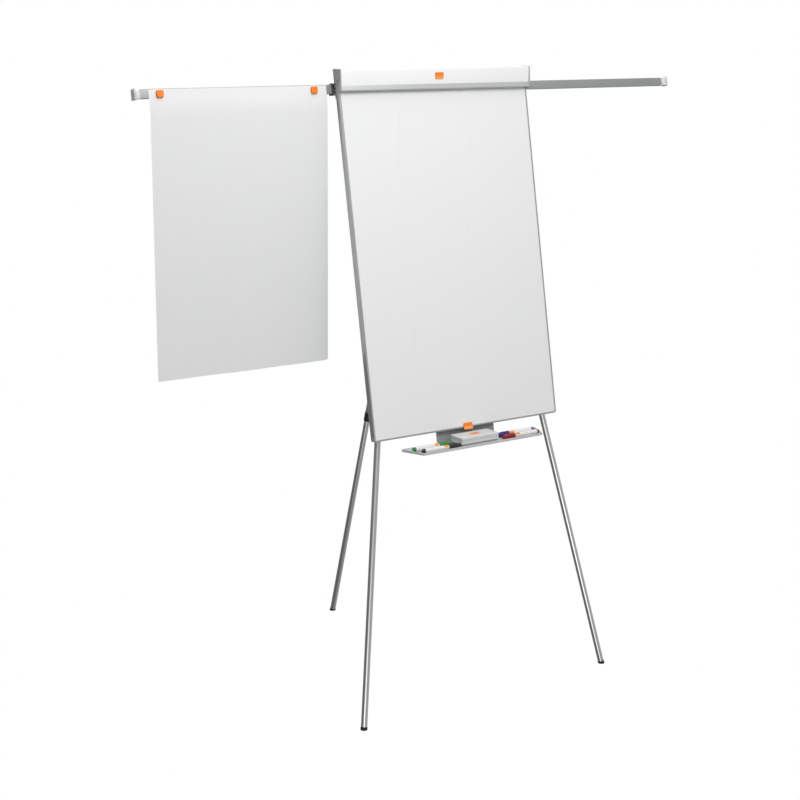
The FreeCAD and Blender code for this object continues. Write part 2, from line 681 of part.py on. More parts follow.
# ---- head: pressed plate, two pivot studs and the rear leg's fork
def make_head():
    front = board_depth
    back = board_depth + head_wall
    low = leg_top_s - head_height / 2
    high = leg_top_s + head_height / 2
    plate = block(-head_half_width, head_half_width, front, back, low, high)
    clear_x = front_pivot_x - 2 * outer_tube_r - free_gap
    for x1, s0, s1 in ((clear_x, low, low + head_wall), (head_half_width, high - head_wall, high)):
        plate = plate.fuse(block(-x1, x1, front, back + head_flange, s0, s1))
    keep("head_plate", on_board(plate.removeSplitter()))

    studs = []
    for side in (-1, 1):
        def at(n):
            return V(side * front_pivot_x, n, leg_top_s)
        tongue_front = front_leg_n - front_tongue / 2 - slide_gap
        tongue_back = front_leg_n + front_tongue / 2 + slide_gap
        stud = rod(bolt_r, at(back), at(tongue_back + bolt_head))
        stud = stud.fuse(rod(tongue_width / 2, at(back), at(tongue_front)))
        stud = stud.fuse(rod(bolt_head_r, at(tongue_back), at(tongue_back + bolt_head)))
        studs.append(stud.removeSplitter())
    keep("front_leg_studs", on_board(group(studs)))

    inner = rear_tongue / 2 + slide_gap
    outer = inner + ear_wall
    root_x = outer + root_margin
    root_s = ear_root + root_rim
    fork = block(-root_x, root_x, back, back + ear_wall, leg_top_s - root_s, leg_top_s + root_s)
    for side in (-1, 1):
        x0, x1 = sorted((side * inner, side * outer))
        web = profile([(back, leg_top_s - ear_root), (rear_leg_n, leg_top_s - ear_r),
                       (rear_leg_n, leg_top_s + ear_r), (back, leg_top_s + ear_root)], x0, x1)
        tip = rod(ear_r, V(x0, rear_leg_n, leg_top_s), V(x1, rear_leg_n, leg_top_s))
        fork = fork.fuse(web).fuse(tip)
    fork = fork.cut(rod(bolt_r, V(-outer - 1, rear_leg_n, leg_top_s), V(outer + 1, rear_leg_n, leg_top_s)))
    keep("rear_leg_fork", on_board(fork.removeSplitter()))

    bolt = rod(bolt_r, V(-outer - bolt_head, rear_leg_n, leg_top_s),
               V(outer + bolt_head, rear_leg_n, leg_top_s))
    for x0, x1 in ((-outer - bolt_head, -outer), (outer, outer + bolt_head)):
        bolt = bolt.fuse(rod(bolt_head_r, V(x0, rear_leg_n, leg_top_s), V(x1, rear_leg_n, leg_top_s)))
    keep("rear_leg_bolt", on_board(bolt.removeSplitter()))


# ---- pen tray on its bracket
tray_low_z = board_lift - tray_drop


tray_slope = (tray_back_half - tray_front_half) / (tray_back_y - tray_front_y)


def tray_outline(shrink, z):
    """Trapezium of the tray in plan, moved inwards by a wall."""
    back = board_y + tray_back_y - shrink
    front = board_y + tray_front_y + shrink
    slope = tray_slope
    side = shrink * math.hypot(1, slope)
    back_half = tray_back_half - side - slope * shrink
    front_half = tray_front_half - side + slope * shrink
    points = [V(-back_half, back, z), V(back_half, back, z), V(front_half, front, z),
              V(-front_half, front, z)]
    return Part.Face(Part.makePolygon(points + points[:1]))


def make_tray():
    body = tray_outline(0, tray_low_z).extrude(V(0, 0, tray_rim))
    body = round_edges(body, tray_corner, V(0, 0, 1))
    inside = tray_outline(tray_wall, tray_low_z + tray_wall).extrude(V(0, 0, tray_rim))
    inside = round_edges(inside, tray_corner - tray_wall, V(0, 0, 1))
    keep("pen_tray", body.cut(inside))

    leg_s = -(tray_drop + bracket_wall) / math.cos(lean) - board_depth * math.tan(lean)
    back = block(-bracket_half, bracket_half, board_depth, board_depth + bracket_wall,
                 leg_s - bracket_spare, bracket_cover)
    back = on_board(back)
    edge_y = board_y + board_depth * math.cos(lean) + leg_s * math.sin(lean)
    below = block(-2 * bracket_half, 2 * bracket_half, edge_y - tray_ledge, edge_y + tray_ledge,
                  tray_low_z - bracket_wall - tray_ledge, tray_low_z - bracket_wall)
    back = back.cut(below)
    ledge = block(-bracket_half, bracket_half, board_y + tray_back_y - tray_ledge, edge_y + bracket_wall,
                  tray_low_z - bracket_wall, tray_low_z)
    keep("tray_bracket", back.fuse(ledge).removeSplitter())

    floor = tray_low_z + tray_wall

    def marker(side, place, name):
        """Pen lying along x, with its end plug outwards and its cap towards the middle."""
        inset, from_front = place
        x_outer = side * (tray_front_half + tray_slope * from_front - inset)

        def at(distance):
            return V(x_outer - side * distance, board_y + tray_front_y + from_front,
                     floor + marker_r + tray_set_down)
        cap_start = marker_length - marker_cap
        barrel_end = cap_start + marker_barrel_in_cap
        barrel = rod(marker_r - marker_cap_wall, at(marker_plug), at(barrel_end))
        cap = rod(marker_r, at(cap_start), at(marker_length))
        cap = cap.cut(rod(marker_r - marker_cap_wall, at(cap_start), at(barrel_end)))
        plug = rod(marker_r - marker_cap_wall, at(0), at(marker_plug))
        keep(name, group([cap, plug]))
        return barrel

    keep("marker_barrels", group([marker(-1, left_marker_back, "marker_cap_green"),
                                  marker(-1, left_marker_front, "marker_cap_black"),
                                  marker(1, right_marker_back, "marker_cap_blue"),
                                  marker(1, right_marker_front, "marker_cap_red")]))

    x0 = eraser_centre_x - eraser_width / 2
    x1 = eraser_centre_x + eraser_width / 2
    y0 = board_y + tray_front_y + eraser_front_gap
    y1 = y0 + eraser_depth
    low = floor + tray_set_down
    felt = block(x0 + felt_inset, x1 - felt_inset, y0 + felt_inset, y1 - felt_inset,
                 low, low + eraser_felt_height)
    keep("eraser_felt", round_edges(felt, eraser_corner - felt_inset / 2, V(0, 0, 1)))
    shell_low = low + eraser_felt_height
    shell = block(x0, x1, y0, y1, shell_low, shell_low + eraser_shell_height)
    shell = round_edges(shell, eraser_corner, V(0, 0, 1))
    top = [e for e in shell.Edges if e.BoundBox.ZMin > shell_low + eraser_shell_height - 0.01]
    keep("eraser_shell", shell.makeFillet(eraser_edge, top))


def make_screws():
    screws = []
    for side in (-1, 1):
        screws.append(screw(side * (bracket_half - bracket_screw_inset), board_depth + bracket_wall,
                            bracket_cover - bracket_screw_drop, 1))
    for share in channel_screw_shares:
        screws.append(screw(share * half, board_depth + channel_wall, track_low - channel_foot / 2, 1))
    for x in (screw_inset - head_half_width, -head_screw_x, head_screw_x, head_half_width - screw_inset):
        screws.append(screw(x, board_depth + head_wall, leg_top_s - head_screw_drop, 1))
    fitted = on_board(group(screws))
    keep("board_screws", fitted)
    for host in ("tray_bracket", "arm_channel", "head_plate", "back_sheet", "board_core"):
        nodes[host] = nodes[host].cut(fitted)


make_board()
make_board_badge()
make_clamp()
make_channel()
make_arms()
make_sheet()
make_legs()
make_head()
make_tray()
make_screws()

for name, shape in nodes.items():
    if not shape.isValid():
        print("not valid:", name)
    shape.exportStep("parts/" + name + ".step")

whole = Part.makeCompound(list(nodes.values())).BoundBox
print("nodes", len(nodes))
print("box x %.1f %.1f  y %.1f %.1f  z %.1f %.1f" % (whole.XMin, whole.XMax, whole.YMin, whole.YMax,
                                                   whole.ZMin, whole.ZMax))
print("arm travel %.1f" % arm_travel)
print("board_y %.3f rear pivot y %.3f z %.3f" % (board_y, board_y + rear_pivot_y, rear_pivot_z))
print("leg lengths %.2f %.2f" % (front_leg_length, rear_leg_length))
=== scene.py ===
import json
import math

import bmesh
import bpy
import numpy as np
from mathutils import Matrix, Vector


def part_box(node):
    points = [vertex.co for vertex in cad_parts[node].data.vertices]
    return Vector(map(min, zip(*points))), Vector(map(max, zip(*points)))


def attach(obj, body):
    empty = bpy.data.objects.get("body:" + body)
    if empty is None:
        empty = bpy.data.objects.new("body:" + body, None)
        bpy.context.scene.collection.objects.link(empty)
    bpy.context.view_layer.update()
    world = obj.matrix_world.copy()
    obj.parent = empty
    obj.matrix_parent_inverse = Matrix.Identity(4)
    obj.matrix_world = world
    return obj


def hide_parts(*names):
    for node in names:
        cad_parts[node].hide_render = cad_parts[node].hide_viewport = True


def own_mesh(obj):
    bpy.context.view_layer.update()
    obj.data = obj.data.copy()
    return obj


# Flipchart easel: its looks, piece by piece, in the order in which it is put together.
# Lengths are in metres.
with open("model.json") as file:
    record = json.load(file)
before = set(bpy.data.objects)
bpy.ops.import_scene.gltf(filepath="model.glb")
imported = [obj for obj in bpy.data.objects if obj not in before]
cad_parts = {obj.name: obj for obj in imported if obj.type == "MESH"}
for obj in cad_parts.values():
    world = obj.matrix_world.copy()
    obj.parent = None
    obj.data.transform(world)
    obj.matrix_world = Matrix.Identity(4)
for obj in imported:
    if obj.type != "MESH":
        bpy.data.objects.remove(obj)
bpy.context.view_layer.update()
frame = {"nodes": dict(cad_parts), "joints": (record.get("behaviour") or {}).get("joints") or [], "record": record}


# ---- Writing board
# An enamelled steel sheet is glued to a honeycomb core, with a galvanised sheet behind.
# The enamel is a glossy white coat with the faint ripple of baked glass.
class Socket:
    """A shader value; each operator used on it adds a Math node."""

    def __init__(self, tree, link):
        self.tree = tree
        self.link = link

    def maths(self, operation, *values):
        """One Math node over the given values."""
        node = self.tree.nodes.new("ShaderNodeMath")
        node.operation = operation
        for place, value in enumerate(values):
            connect(self.tree, node.inputs[place], value)
        return Socket(self.tree, node.outputs[0])

    def __add__(self, other):
        return self.maths("ADD", self, other)

    def __radd__(self, other):
        return self.maths("ADD", other, self)

    def __sub__(self, other):
        return self.maths("SUBTRACT", self, other)

    def __rsub__(self, other):
        return self.maths("SUBTRACT", other, self)

    def __mul__(self, other):
        return self.maths("MULTIPLY", self, other)

    def __rmul__(self, other):
        return self.maths("MULTIPLY", other, self)

    def __gt__(self, other):
        return self.maths("GREATER_THAN", self, other)

    def __lt__(self, other):
        return self.maths("LESS_THAN", self, other)


def connect(tree, entry, value):
    """Links a shader value to a node's entry, or sets the entry to a plain number or colour."""
    if isinstance(value, Socket):
        tree.links.new(value.link, entry)
    elif entry.type == "RGBA":
        entry.default_value = (*value, 1.0)
    else:
        entry.default_value = value


class Finish:
    """A material in the making: one Principled shader and the nodes that feed it."""

    def __init__(self, name):
        self.material = bpy.data.materials.new(name)
        self.material.use_nodes = True
        self.tree = self.material.node_tree
        self.shader = self.tree.nodes["Principled BSDF"]

    def node(self, kind, settings, entries, output=0):
        """Adds a node: its settings first, then the values or links of its entries."""
        made = self.tree.nodes.new("ShaderNode" + kind)
        for name, value in settings.items():
            setattr(made, name, value)
        for name, value in entries.items():
            connect(self.tree, made.inputs[name], value)
        return Socket(self.tree, made.outputs[output])

    def place(self, scale=(1, 1, 1), turn=(0, 0, 0), shift=(0, 0, 0)):
        """Position on the piece in metres, turned, shifted and scaled."""
        spot = self.node("TexCoord", {}, {}, "Object")
        return self.node("Mapping", {}, {"Vector": spot, "Scale": scale, "Rotation": turn,
                                         "Location": shift})

    def along(self, axis, **mapping):
        """One coordinate of the position."""
        return self.node("SeparateXYZ", {}, {"Vector": self.place(**mapping)}, axis)

    def noise(self, fineness, detail=2.0, **mapping):
        """Even noise over the piece, with so many waves to the metre."""
        spot = self.place(**mapping)
        return self.node("TexNoise", {}, {"Vector": spot, "Scale": fineness, "Detail": detail})

    def mix(self, share, first, second):
        """Colour between two colours."""
        return self.node("Mix", {"data_type": "RGBA"}, {0: share, 6: first, 7: second}, 2)

    def relief(self, height, distance, strength=1.0):
        """Bumps of the given height in metres."""
        bump = self.node("Bump", {}, {"Height": height, "Distance": distance, "Strength": strength})
        connect(self.tree, self.shader.inputs["Normal"], bump)

    def surface(self, **entries):
        """Sets or links the shader's entries, named with underscores for spaces."""
        for name, value in entries.items():
            connect(self.tree, self.shader.inputs[name.replace("_", " ")], value)
        return self


def shade_of(colour, factor):
    """A colour made darker or lighter."""
    return tuple(min(1.0, c * factor) for c in colour)


def enamel():
    finish = Finish("white_enamel")
    wiped = finish.noise(2.3, 1.0, scale=(1.0, 1.0, 0.35))
    finish.relief(finish.noise(160.0, 1.0), 0.00002, 0.35)
    white = (0.885, 0.89, 0.89)
    return finish.surface(Base_Color=finish.mix(wiped, shade_of(white, 0.985), white),
                          Roughness=0.26 + wiped * 0.04, Coat_Weight=0.25, Coat_Roughness=0.12)


def honeycomb():
    finish = Finish("honeycomb_board")
    cells = finish.node("TexVoronoi", {"feature": "DISTANCE_TO_EDGE"},
                        {"Vector": finish.place(), "Scale": 90.0})
    finish.relief(cells, 0.001)
    brown = (0.5, 0.38, 0.24)
    return finish.surface(Base_Color=finish.mix(cells < 0.08, shade_of(brown, 0.6), brown), Roughness=0.9)


def galvanised():
    finish = Finish("galvanised_sheet")
    spangle = finish.node("TexVoronoi", {}, {"Vector": finish.place(), "Scale": 55.0}, "Color")
    facet = finish.node("SeparateColor", {}, {"Color": spangle})
    tone = 0.75 + facet * 0.25
    grey = (0.46, 0.475, 0.49)
    return finish.surface(Base_Color=finish.mix(tone, shade_of(grey, 0.7), grey), Metallic=0.85,
                          Roughness=0.32 + facet * 0.16)


def dress(finish, *nodes):
    """Gives CAD nodes their finish."""
    for node in nodes:
        mesh = frame["nodes"][node].data
        mesh.materials.clear()
        mesh.materials.append(finish.material)


dress(enamel(), "writing_panel")
dress(honeycomb(), "board_core")
dress(galvanised(), "back_sheet")


# ---- Frame
# Four rails of anodised aluminium, extruded in a C that holds the board's edge, and four
# moulded corners with the same section, carried round a quarter turn.
BACK = np.array(next(j["axis"] for j in frame["joints"] if j["name"] == "front_right_leg_swing"))
UP = np.array([0.0, -BACK[2], BACK[1]])
RIGHT = np.array([1.0, 0.0, 0.0])
LEAN = math.atan2(-BACK[2], BACK[1])


def corners_of(node):
    """All points of a CAD node."""
    mesh = frame["nodes"][node].data
    points = np.zeros(3 * len(mesh.vertices))
    mesh.vertices.foreach_get("co", points)
    return points.reshape(-1, 3)


def span(node):
    """Lowest and highest x, n and s of a node: right, square to the board, and up along it."""
    points = corners_of(node)
    local = np.stack([points @ RIGHT, points @ BACK, points @ UP], 1)
    return local.min(0), local.max(0)


def rounded(corners, radius, inset=0.0, steps=5):
    """Closed outline with an arc at each corner of a polygon.

    The arc's centre is where the two sides meet once both are moved in by the radius, or out at a
    hollow corner; its points turn evenly from one side's normal to the next. Inset moves the
    whole outline inwards.
    """
    corners = np.asarray(corners, float)
    radius = np.broadcast_to(radius, len(corners)).astype(float)
    after = np.roll(corners, -1, 0) - corners
    if np.sum(corners[:, 0] * np.roll(corners, -1, 0)[:, 1]
              - corners[:, 1] * np.roll(corners, -1, 0)[:, 0]) < 0:
        corners = corners[::-1]
        radius = radius[::-1]
        after = np.roll(corners, -1, 0) - corners
    after /= np.linalg.norm(after, axis=1)[:, None]
    before = np.roll(after, 1, 0)
    turn = np.arctan2(before[:, 0] * after[:, 1] - before[:, 1] * after[:, 0], (before * after).sum(1))
    side = np.where(turn >= 0, 1.0, -1.0)
    inward = np.stack([-before[:, 1], before[:, 0]], 1)
    next_inward = np.stack([-after[:, 1], after[:, 0]], 1)
    shift = np.where(side > 0, np.maximum(radius, inset), -radius)
    reach = (inward + next_inward) / (1 + (inward * next_inward).sum(1))[:, None]
    centre = corners + reach * shift[:, None]
    arc = np.where(side > 0, np.maximum(radius - inset, 0.0), radius + inset)
    angle = turn[:, None] * np.linspace(0, 1, steps + 1)
    forward = np.stack([-inward[:, 1], inward[:, 0]], 1)
    normal = np.cos(angle)[..., None] * inward[:, None] + np.sin(angle)[..., None] * forward[:, None]
    return (centre[:, None] - (side * arc)[:, None, None] * normal).reshape(-1, 2)


def rectangle(low, high, inset=0.0):
    """Corners of a rectangle between two opposite corners, moved in by an inset."""
    left, bottom = np.asarray(low, float) + inset
    right, top = np.asarray(high, float) - inset
    return [(left, bottom), (right, bottom), (right, top), (left, top)]


def loft(rings, loop=False):
    """Skin through closed rings of points; its ends are filled, or joined when it is a loop."""
    rings = np.asarray(rings)
    rows, around = rings.shape[:2]
    index = np.arange(rows * around).reshape(rows, around)
    here = index if loop else index[:-1]
    there = np.roll(index, -1, 0) if loop else index[1:]
    quads = np.stack([here, np.roll(here, -1, 1), np.roll(there, -1, 1), there], -1).reshape(-1, 4)
    ends = [] if loop else [index[0][::-1], index[-1]]
    return rings.reshape(-1, 3), list(quads) + ends


def plate(corners, radius, low, high, edge, lay, steps=5):
    """Slab between two levels, its outline moved in along a quarter circle at both faces."""
    quarter = np.linspace(0, math.pi / 2, 4)
    inset = edge * (1 - np.sin(quarter))
    rise = edge * (1 - np.cos(quarter))
    layers = list(zip(inset, low + rise)) + list(zip(inset[::-1], high - rise[::-1]))
    return loft([lay(rounded(corners, radius, i, steps), depth) for i, depth in layers])


def along_x(outline, x):
    """Outline of (n, s) points at a place x."""
    return outline[:, :1] * BACK + outline[:, 1:] * UP + x * RIGHT


def along_s(outline, s):
    """Outline of (x, n) points at a height s."""
    return outline[:, :1] * RIGHT + outline[:, 1:] * BACK + s * UP


def on_face(outline, n):
    """Outline of (x, s) points at a depth n."""
    return outline[:, :1] * RIGHT + outline[:, 1:] * UP + n * BACK


def level(outline, z):
    """Outline of (x, y) points at a height z."""
    return np.column_stack([outline, np.full(len(outline), z)])


body_of = {node: body for body, nodes in frame["record"]["behaviour"]["bodies"].items() for node in nodes}


def piece(name, surfaces, finish, *nodes, sharp=35):
    """One object from closed surfaces; it stands for CAD nodes, on their body."""
    points = []
    faces = []
    for part, sides in surfaces:
        start = sum(len(p) for p in points)
        faces += [tuple(int(i) for i in side + start) for side in sides]
        points.append(part)
    mesh = bpy.data.meshes.new(name)
    mesh.from_pydata(np.concatenate(points).tolist(), [], faces)
    work = bmesh.new()
    work.from_mesh(mesh)
    bmesh.ops.remove_doubles(work, verts=work.verts, dist=1e-6)
    bmesh.ops.dissolve_degenerate(work, edges=work.edges, dist=1e-6)
    bmesh.ops.recalc_face_normals(work, faces=work.faces)
    work.to_mesh(mesh)
    work.free()
    mesh.shade_smooth()
    mesh.set_sharp_from_angle(angle=math.radians(sharp))
    mesh.materials.append(finish.material)
    made = bpy.data.objects.new(name, mesh)
    bpy.context.scene.collection.objects.link(made)
    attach(made, body_of[nodes[0]])
    return made


def stand_for(name, surfaces, finish, *nodes, sharp=35):
    """A piece that is shown in place of CAD nodes."""
    made = piece(name, surfaces, finish, *nodes, sharp=sharp)
    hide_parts(*nodes)
    return made


def drawn_metal(name, colour, direction, roughness=0.34, metallic=0.75):
    """Aluminium with the fine lines that the die leaves along its length."""
    finish = Finish(name)
    turn = tuple(Vector(direction).rotation_difference(Vector((0, 0, 1))).to_euler())
    lines = finish.noise(900.0, 2.0, scale=(1.0, 1.0, 0.006), turn=turn)
    cloud = finish.noise(9.0, 2.0)
    finish.relief(lines, 0.00001, 0.3)
    return finish.surface(Base_Color=finish.mix(lines, shade_of(colour, 0.93), shade_of(colour, 1.05)),
                          Metallic=metallic, Roughness=roughness - 0.04 + cloud * 0.08)


def moulded(name, colour, grain=0.00004, roughness=0.45, worn=0.06):
    """Moulded plastic with a fine spark-eroded grain and slightly uneven gloss."""
    finish = Finish(name)
    cloud = finish.noise(14.0, 2.0)
    finish.relief(finish.noise(1400.0, 2.0), grain, 0.5)
    uneven = finish.mix(cloud, shade_of(colour, 1 - worn), shade_of(colour, 1 + worn))
    return finish.surface(Base_Color=uneven, Roughness=roughness - 0.05 + cloud * 0.1)


RAIL_WALL = 0.0015
RAIL_FRONT_LIP = 0.005
RAIL_BACK_LIP = 0.009
RAIL_ROUND = 0.0012
RAIL_INNER_ROUND = 0.0003
FRAME_GREY = (0.50, 0.51, 0.515)


def rail_section(back_lip=RAIL_BACK_LIP):
    """Corners of the rail: depth from the front, and distance in from the outer face."""
    low, high = span("frame_rail_bottom")
    depth = high[1] - low[1]
    corners = [(0, 0), (depth, 0), (depth, back_lip), (depth - RAIL_WALL, back_lip),
               (depth - RAIL_WALL, RAIL_WALL), (RAIL_WALL, RAIL_WALL), (RAIL_WALL, RAIL_FRONT_LIP),
               (0, RAIL_FRONT_LIP)]
    radii = [RAIL_ROUND, RAIL_ROUND] + [RAIL_INNER_ROUND] * 6
    return corners, radii


along_bottom = drawn_metal("frame_metal_across", FRAME_GREY, RIGHT)
along_side = drawn_metal("frame_metal_upright", FRAME_GREY, UP)
board_low = np.minimum(span("frame_rail_left")[0], span("frame_rail_bottom")[0])
board_high = np.maximum(span("frame_rail_right")[1], span("frame_rail_top")[1])
rail_corners, rail_radii = rail_section()
for rail, outer, inwards in (("frame_rail_bottom", board_low[2], 1),
                             ("frame_rail_top", board_high[2], -1)):
    low, high = span(rail)
    section = [(board_low[1] + n, outer + inwards * t) for n, t in rail_corners]
    stand_for(rail + "_skin", [plate(section, rail_radii, low[0], high[0], 0, along_x, 3)],
              along_bottom, rail)
for rail, outer, inwards in (("frame_rail_left", board_low[0], 1),
                             ("frame_rail_right", board_high[0], -1)):
    low, high = span(rail)
    section = [(outer + inwards * t, board_low[1] + n) for n, t in rail_corners]
    stand_for(rail + "_skin", [plate(section, rail_radii, low[2], high[2], 0, along_s, 3)],
              along_side, rail)


CORNER_BEND = 0.007
CORNER_LENGTH = 0.012
CORNER_BACK_LIP = 0.006     # shorter than the rail's, to turn inside the bend


def frame_corner(side, rise):
    """Rail section carried up one side, round an arc, and along the other."""
    bend = CORNER_BEND
    length = CORNER_LENGTH
    outline = rounded(*rail_section(back_lip=CORNER_BACK_LIP), steps=3)
    angle = np.linspace(0, math.pi / 2, 9)
    run = np.concatenate([[[0.0, length]], np.stack([bend - bend * np.cos(angle),
                                                     bend - bend * np.sin(angle)], 1), [[length, 0.0]]])
    inward = np.concatenate([[[1.0, 0.0]], np.stack([np.cos(angle), np.sin(angle)], 1), [[0.0, 1.0]]])
    flat = run[:, None] + outline[None, :, 1:] * inward[:, None]
    x = (board_low[0] if side < 0 else board_high[0]) - side * flat[..., :1]
    s = (board_low[2] if rise < 0 else board_high[2]) - rise * flat[..., 1:]
    n = board_low[1] + np.broadcast_to(outline[None, :, :1], x.shape)
    return loft(x * RIGHT + n * BACK + s * UP)


corner_plastic = moulded("frame_corner_plastic", (0.40, 0.41, 0.415))
stand_for("frame_corner_caps", [frame_corner(side, rise) for side in (-1, 1) for rise in (-1, 1)],
          corner_plastic, "frame_corners")


# ---- Clamp
# A sprung rocker bar of white-coated aluminium holds the pad. It turns on two stub pins in
# moulded cheeks, and presses a bare aluminium grip strip against the board.
def powder_coat(name, colour, roughness=0.42, ripple=0.00003):
    """Baked powder coat: a soft orange-peel ripple over an even colour."""
    finish = Finish(name)
    finish.relief(finish.noise(420.0, 2.0), ripple, 0.5)
    cloud = finish.noise(7.0, 2.0)
    return finish.surface(Base_Color=finish.mix(cloud, shade_of(colour, 0.975), shade_of(colour, 1.01)),
                          Roughness=roughness - 0.04 + cloud * 0.08)


CLAMP_WALL = 0.002
CLAMP_FOOT_BACK = 0.0085    # foot of the bar behind its top edge
CLAMP_LIP = 0.008
CLAMP_BEND = 0.0028
low, high = span("clamp_bar")
top_front = high[2] - (high[1] - low[1]) * math.tan(LEAN)
foot_n = low[1] + CLAMP_FOOT_BACK
fold = CLAMP_WALL * 1.25
bar_outline = [(foot_n, low[2]), (low[1], top_front), (high[1], high[2]), (high[1], high[2] - CLAMP_LIP),
               (high[1] - CLAMP_WALL, high[2] - CLAMP_LIP),
               (high[1] - CLAMP_WALL, high[2] - CLAMP_WALL - CLAMP_WALL * math.tan(LEAN)),
               (low[1] + fold, top_front - CLAMP_WALL + fold * math.tan(LEAN)),
               (foot_n + CLAMP_WALL, low[2])]
bar_radii = [0.0004, CLAMP_BEND, CLAMP_BEND, 0.0006, 0.0006, 0.0008, 0.0008, 0.0004]
bar_skin = plate(bar_outline, bar_radii, low[0], high[0], 0.0003, along_x)
pivot = next(np.array(j["pos_m"]) for j in frame["joints"] if j["name"] == "clamp_open")
axis_n = pivot @ BACK
axis_s = pivot @ UP
KNUCKLE = 0.0055
POCKET = 0.013
WEB_HALF = 0.001
WEB_SUNK = 0.0006           # how far the web runs into the bar's wall
web_outline = rectangle((foot_n - WEB_SUNK, axis_s - WEB_HALF), (axis_n, axis_s + WEB_HALF))
round_turns = np.linspace(0, 2 * math.pi, 24, endpoint=False)
knuckle_outline = np.stack([axis_n + KNUCKLE * np.cos(round_turns),
                            axis_s + KNUCKLE * np.sin(round_turns)], 1)
inner_low = low[0] + POCKET
inner_high = high[0] - POCKET
knuckle = loft([along_x(knuckle_outline, inner_low), along_x(knuckle_outline, inner_high)])
web = plate(web_outline, 0, inner_low, inner_high, 0, along_x, 1)
clamp_white = powder_coat("clamp_white_coat", (0.95, 0.955, 0.955))
stand_for("clamp_bar_skin", [bar_skin, knuckle, web], clamp_white, "clamp_bar")

low, high = span("clamp_grip")
GRIP_WALL = 0.0035
GRIP_LIP = 0.005
GRIP_BEVEL = 0.003
GRIP_HEEL_RISE = 0.001
grip_outline = [(low[1], low[2] + GRIP_BEVEL), (low[1] + GRIP_BEVEL, low[2]),
                (high[1], low[2] + GRIP_HEEL_RISE),
                (high[1], low[2] + GRIP_LIP), (low[1] + GRIP_WALL, low[2] + GRIP_LIP),
                (low[1] + GRIP_WALL, high[2]), (low[1], high[2])]
grip_radii = [0.0012, 0.0012, 0.0005, 0.0005, 0.0005, 0.0003, 0.0003]
grip_metal = drawn_metal("grip_strip_metal", (0.60, 0.61, 0.61), RIGHT, 0.45, 0.35)
stand_for("clamp_grip_skin", [plate(grip_outline, grip_radii, low[0], high[0], 0.0002, along_x)],
          grip_metal, "clamp_grip")

CHEEK_FOOT_BACK = 0.009     # the foot's front face behind the cheek's front edge
CHEEK_STEP_BACK = 0.0305    # where the foot ends, and the cheek steps up over the board
CHEEK_STEP_LOW = 0.0255
CHEEK_STEP_HIGH = 0.0295
CHEEK_ROUND = 0.002
CHEEK_EDGE = 0.0009
cheek_grey = moulded("cheek_plastic", (0.42, 0.425, 0.435), roughness=0.5)
for cheek in ("clamp_cheek_left", "clamp_cheek_right"):
    low, high = span(cheek)
    step_n = low[1] + CHEEK_STEP_BACK
    foot_front = low[1] + CHEEK_FOOT_BACK
    top_front = high[2] - (high[1] - low[1]) * math.tan(LEAN)
    outline = [(foot_front, low[2]), (step_n, low[2]), (step_n, low[2] + CHEEK_STEP_LOW),
               (high[1], low[2] + CHEEK_STEP_HIGH), (high[1], high[2]), (low[1], top_front)]
    stand_for(cheek + "_skin", [plate(outline, CHEEK_ROUND, low[0], high[0], CHEEK_EDGE, along_x)],
              cheek_grey, cheek)


def turned(profile, start, direction, steps=48):
    """Surface of revolution; the profile holds (distance along the axis, radius) corners."""
    profile = np.asarray(profile, float)
    direction = np.asarray(direction) / np.linalg.norm(direction)
    across = np.cross(direction, RIGHT if abs(direction[0]) < 0.9 else UP)
    across /= np.linalg.norm(across)
    angle = np.linspace(0, 2 * math.pi, steps, endpoint=False)[:, None]
    circle = np.cos(angle) * across + np.sin(angle) * np.cross(direction, across)
    rings = start + profile[:, 0, None, None] * direction + profile[:, 1, None, None] * circle
    return loft(rings, loop=True)


def solid_of(corners, radii, start, direction, steps=48):
    """Turned solid: the corners run from axis to axis, and each is rounded by its radius."""
    closed = [(corners[0][0], 0.0)] + list(corners) + [(corners[-1][0], 0.0)]
    outline = rounded(closed, [0.0] + list(radii) + [0.0], steps=4)
    outline[:, 1] = np.maximum(outline[:, 1], 0.0)
    return turned(outline, start, direction, steps)


PEG_BEHIND = 0.00605        # stem and end disc behind the collar
PEG_COLLAR = 0.0018
PEG_DISC = 0.00175
black_plastic = moulded("black_moulding", (0.018, 0.018, 0.019), roughness=0.42, worn=0.15)
for peg in ("pad_peg_left", "pad_peg_right"):
    low, high = span(peg)
    middle = (low + high) / 2
    length = high[1] - low[1]
    flange = (high[0] - low[0]) / 2
    stem = flange * 2 / 3
    collar_near = length - PEG_BEHIND - PEG_COLLAR
    start = middle[0] * RIGHT + low[1] * BACK + middle[2] * UP
    outline = [(0, stem), (collar_near, stem), (collar_near, flange), (collar_near + PEG_DISC, flange),
               (collar_near + PEG_DISC, stem), (length - PEG_DISC, stem), (length - PEG_DISC, flange),
               (length, flange)]
    stand_for(peg + "_skin", [solid_of(outline, [0.0012] + [0.0003] * 7, start, BACK, 32)],
              black_plastic, peg)

dress(drawn_metal("clamp_base_metal", FRAME_GREY, RIGHT), "clamp_base")


def zinc():
    finish = Finish("zinc_plate")
    patch = finish.noise(120.0, 3.0)
    finish.relief(finish.noise(700.0, 2.0), 0.00002, 0.4)
    return finish.surface(Base_Color=finish.mix(patch, (0.50, 0.51, 0.53), (0.62, 0.63, 0.64)),
                          Metallic=0.95, Roughness=0.24 + patch * 0.18)


zinc_plate = zinc()
dress(zinc_plate, "clamp_pins", "clamp_springs")


# ---- Plain badges
# Two small moulded plates in orange, one snapped to the clamp bar and one hooked under the
# bottom rail. Each has a lighter lower half and no lettering.
ORANGE = (0.95, 0.235, 0.012)


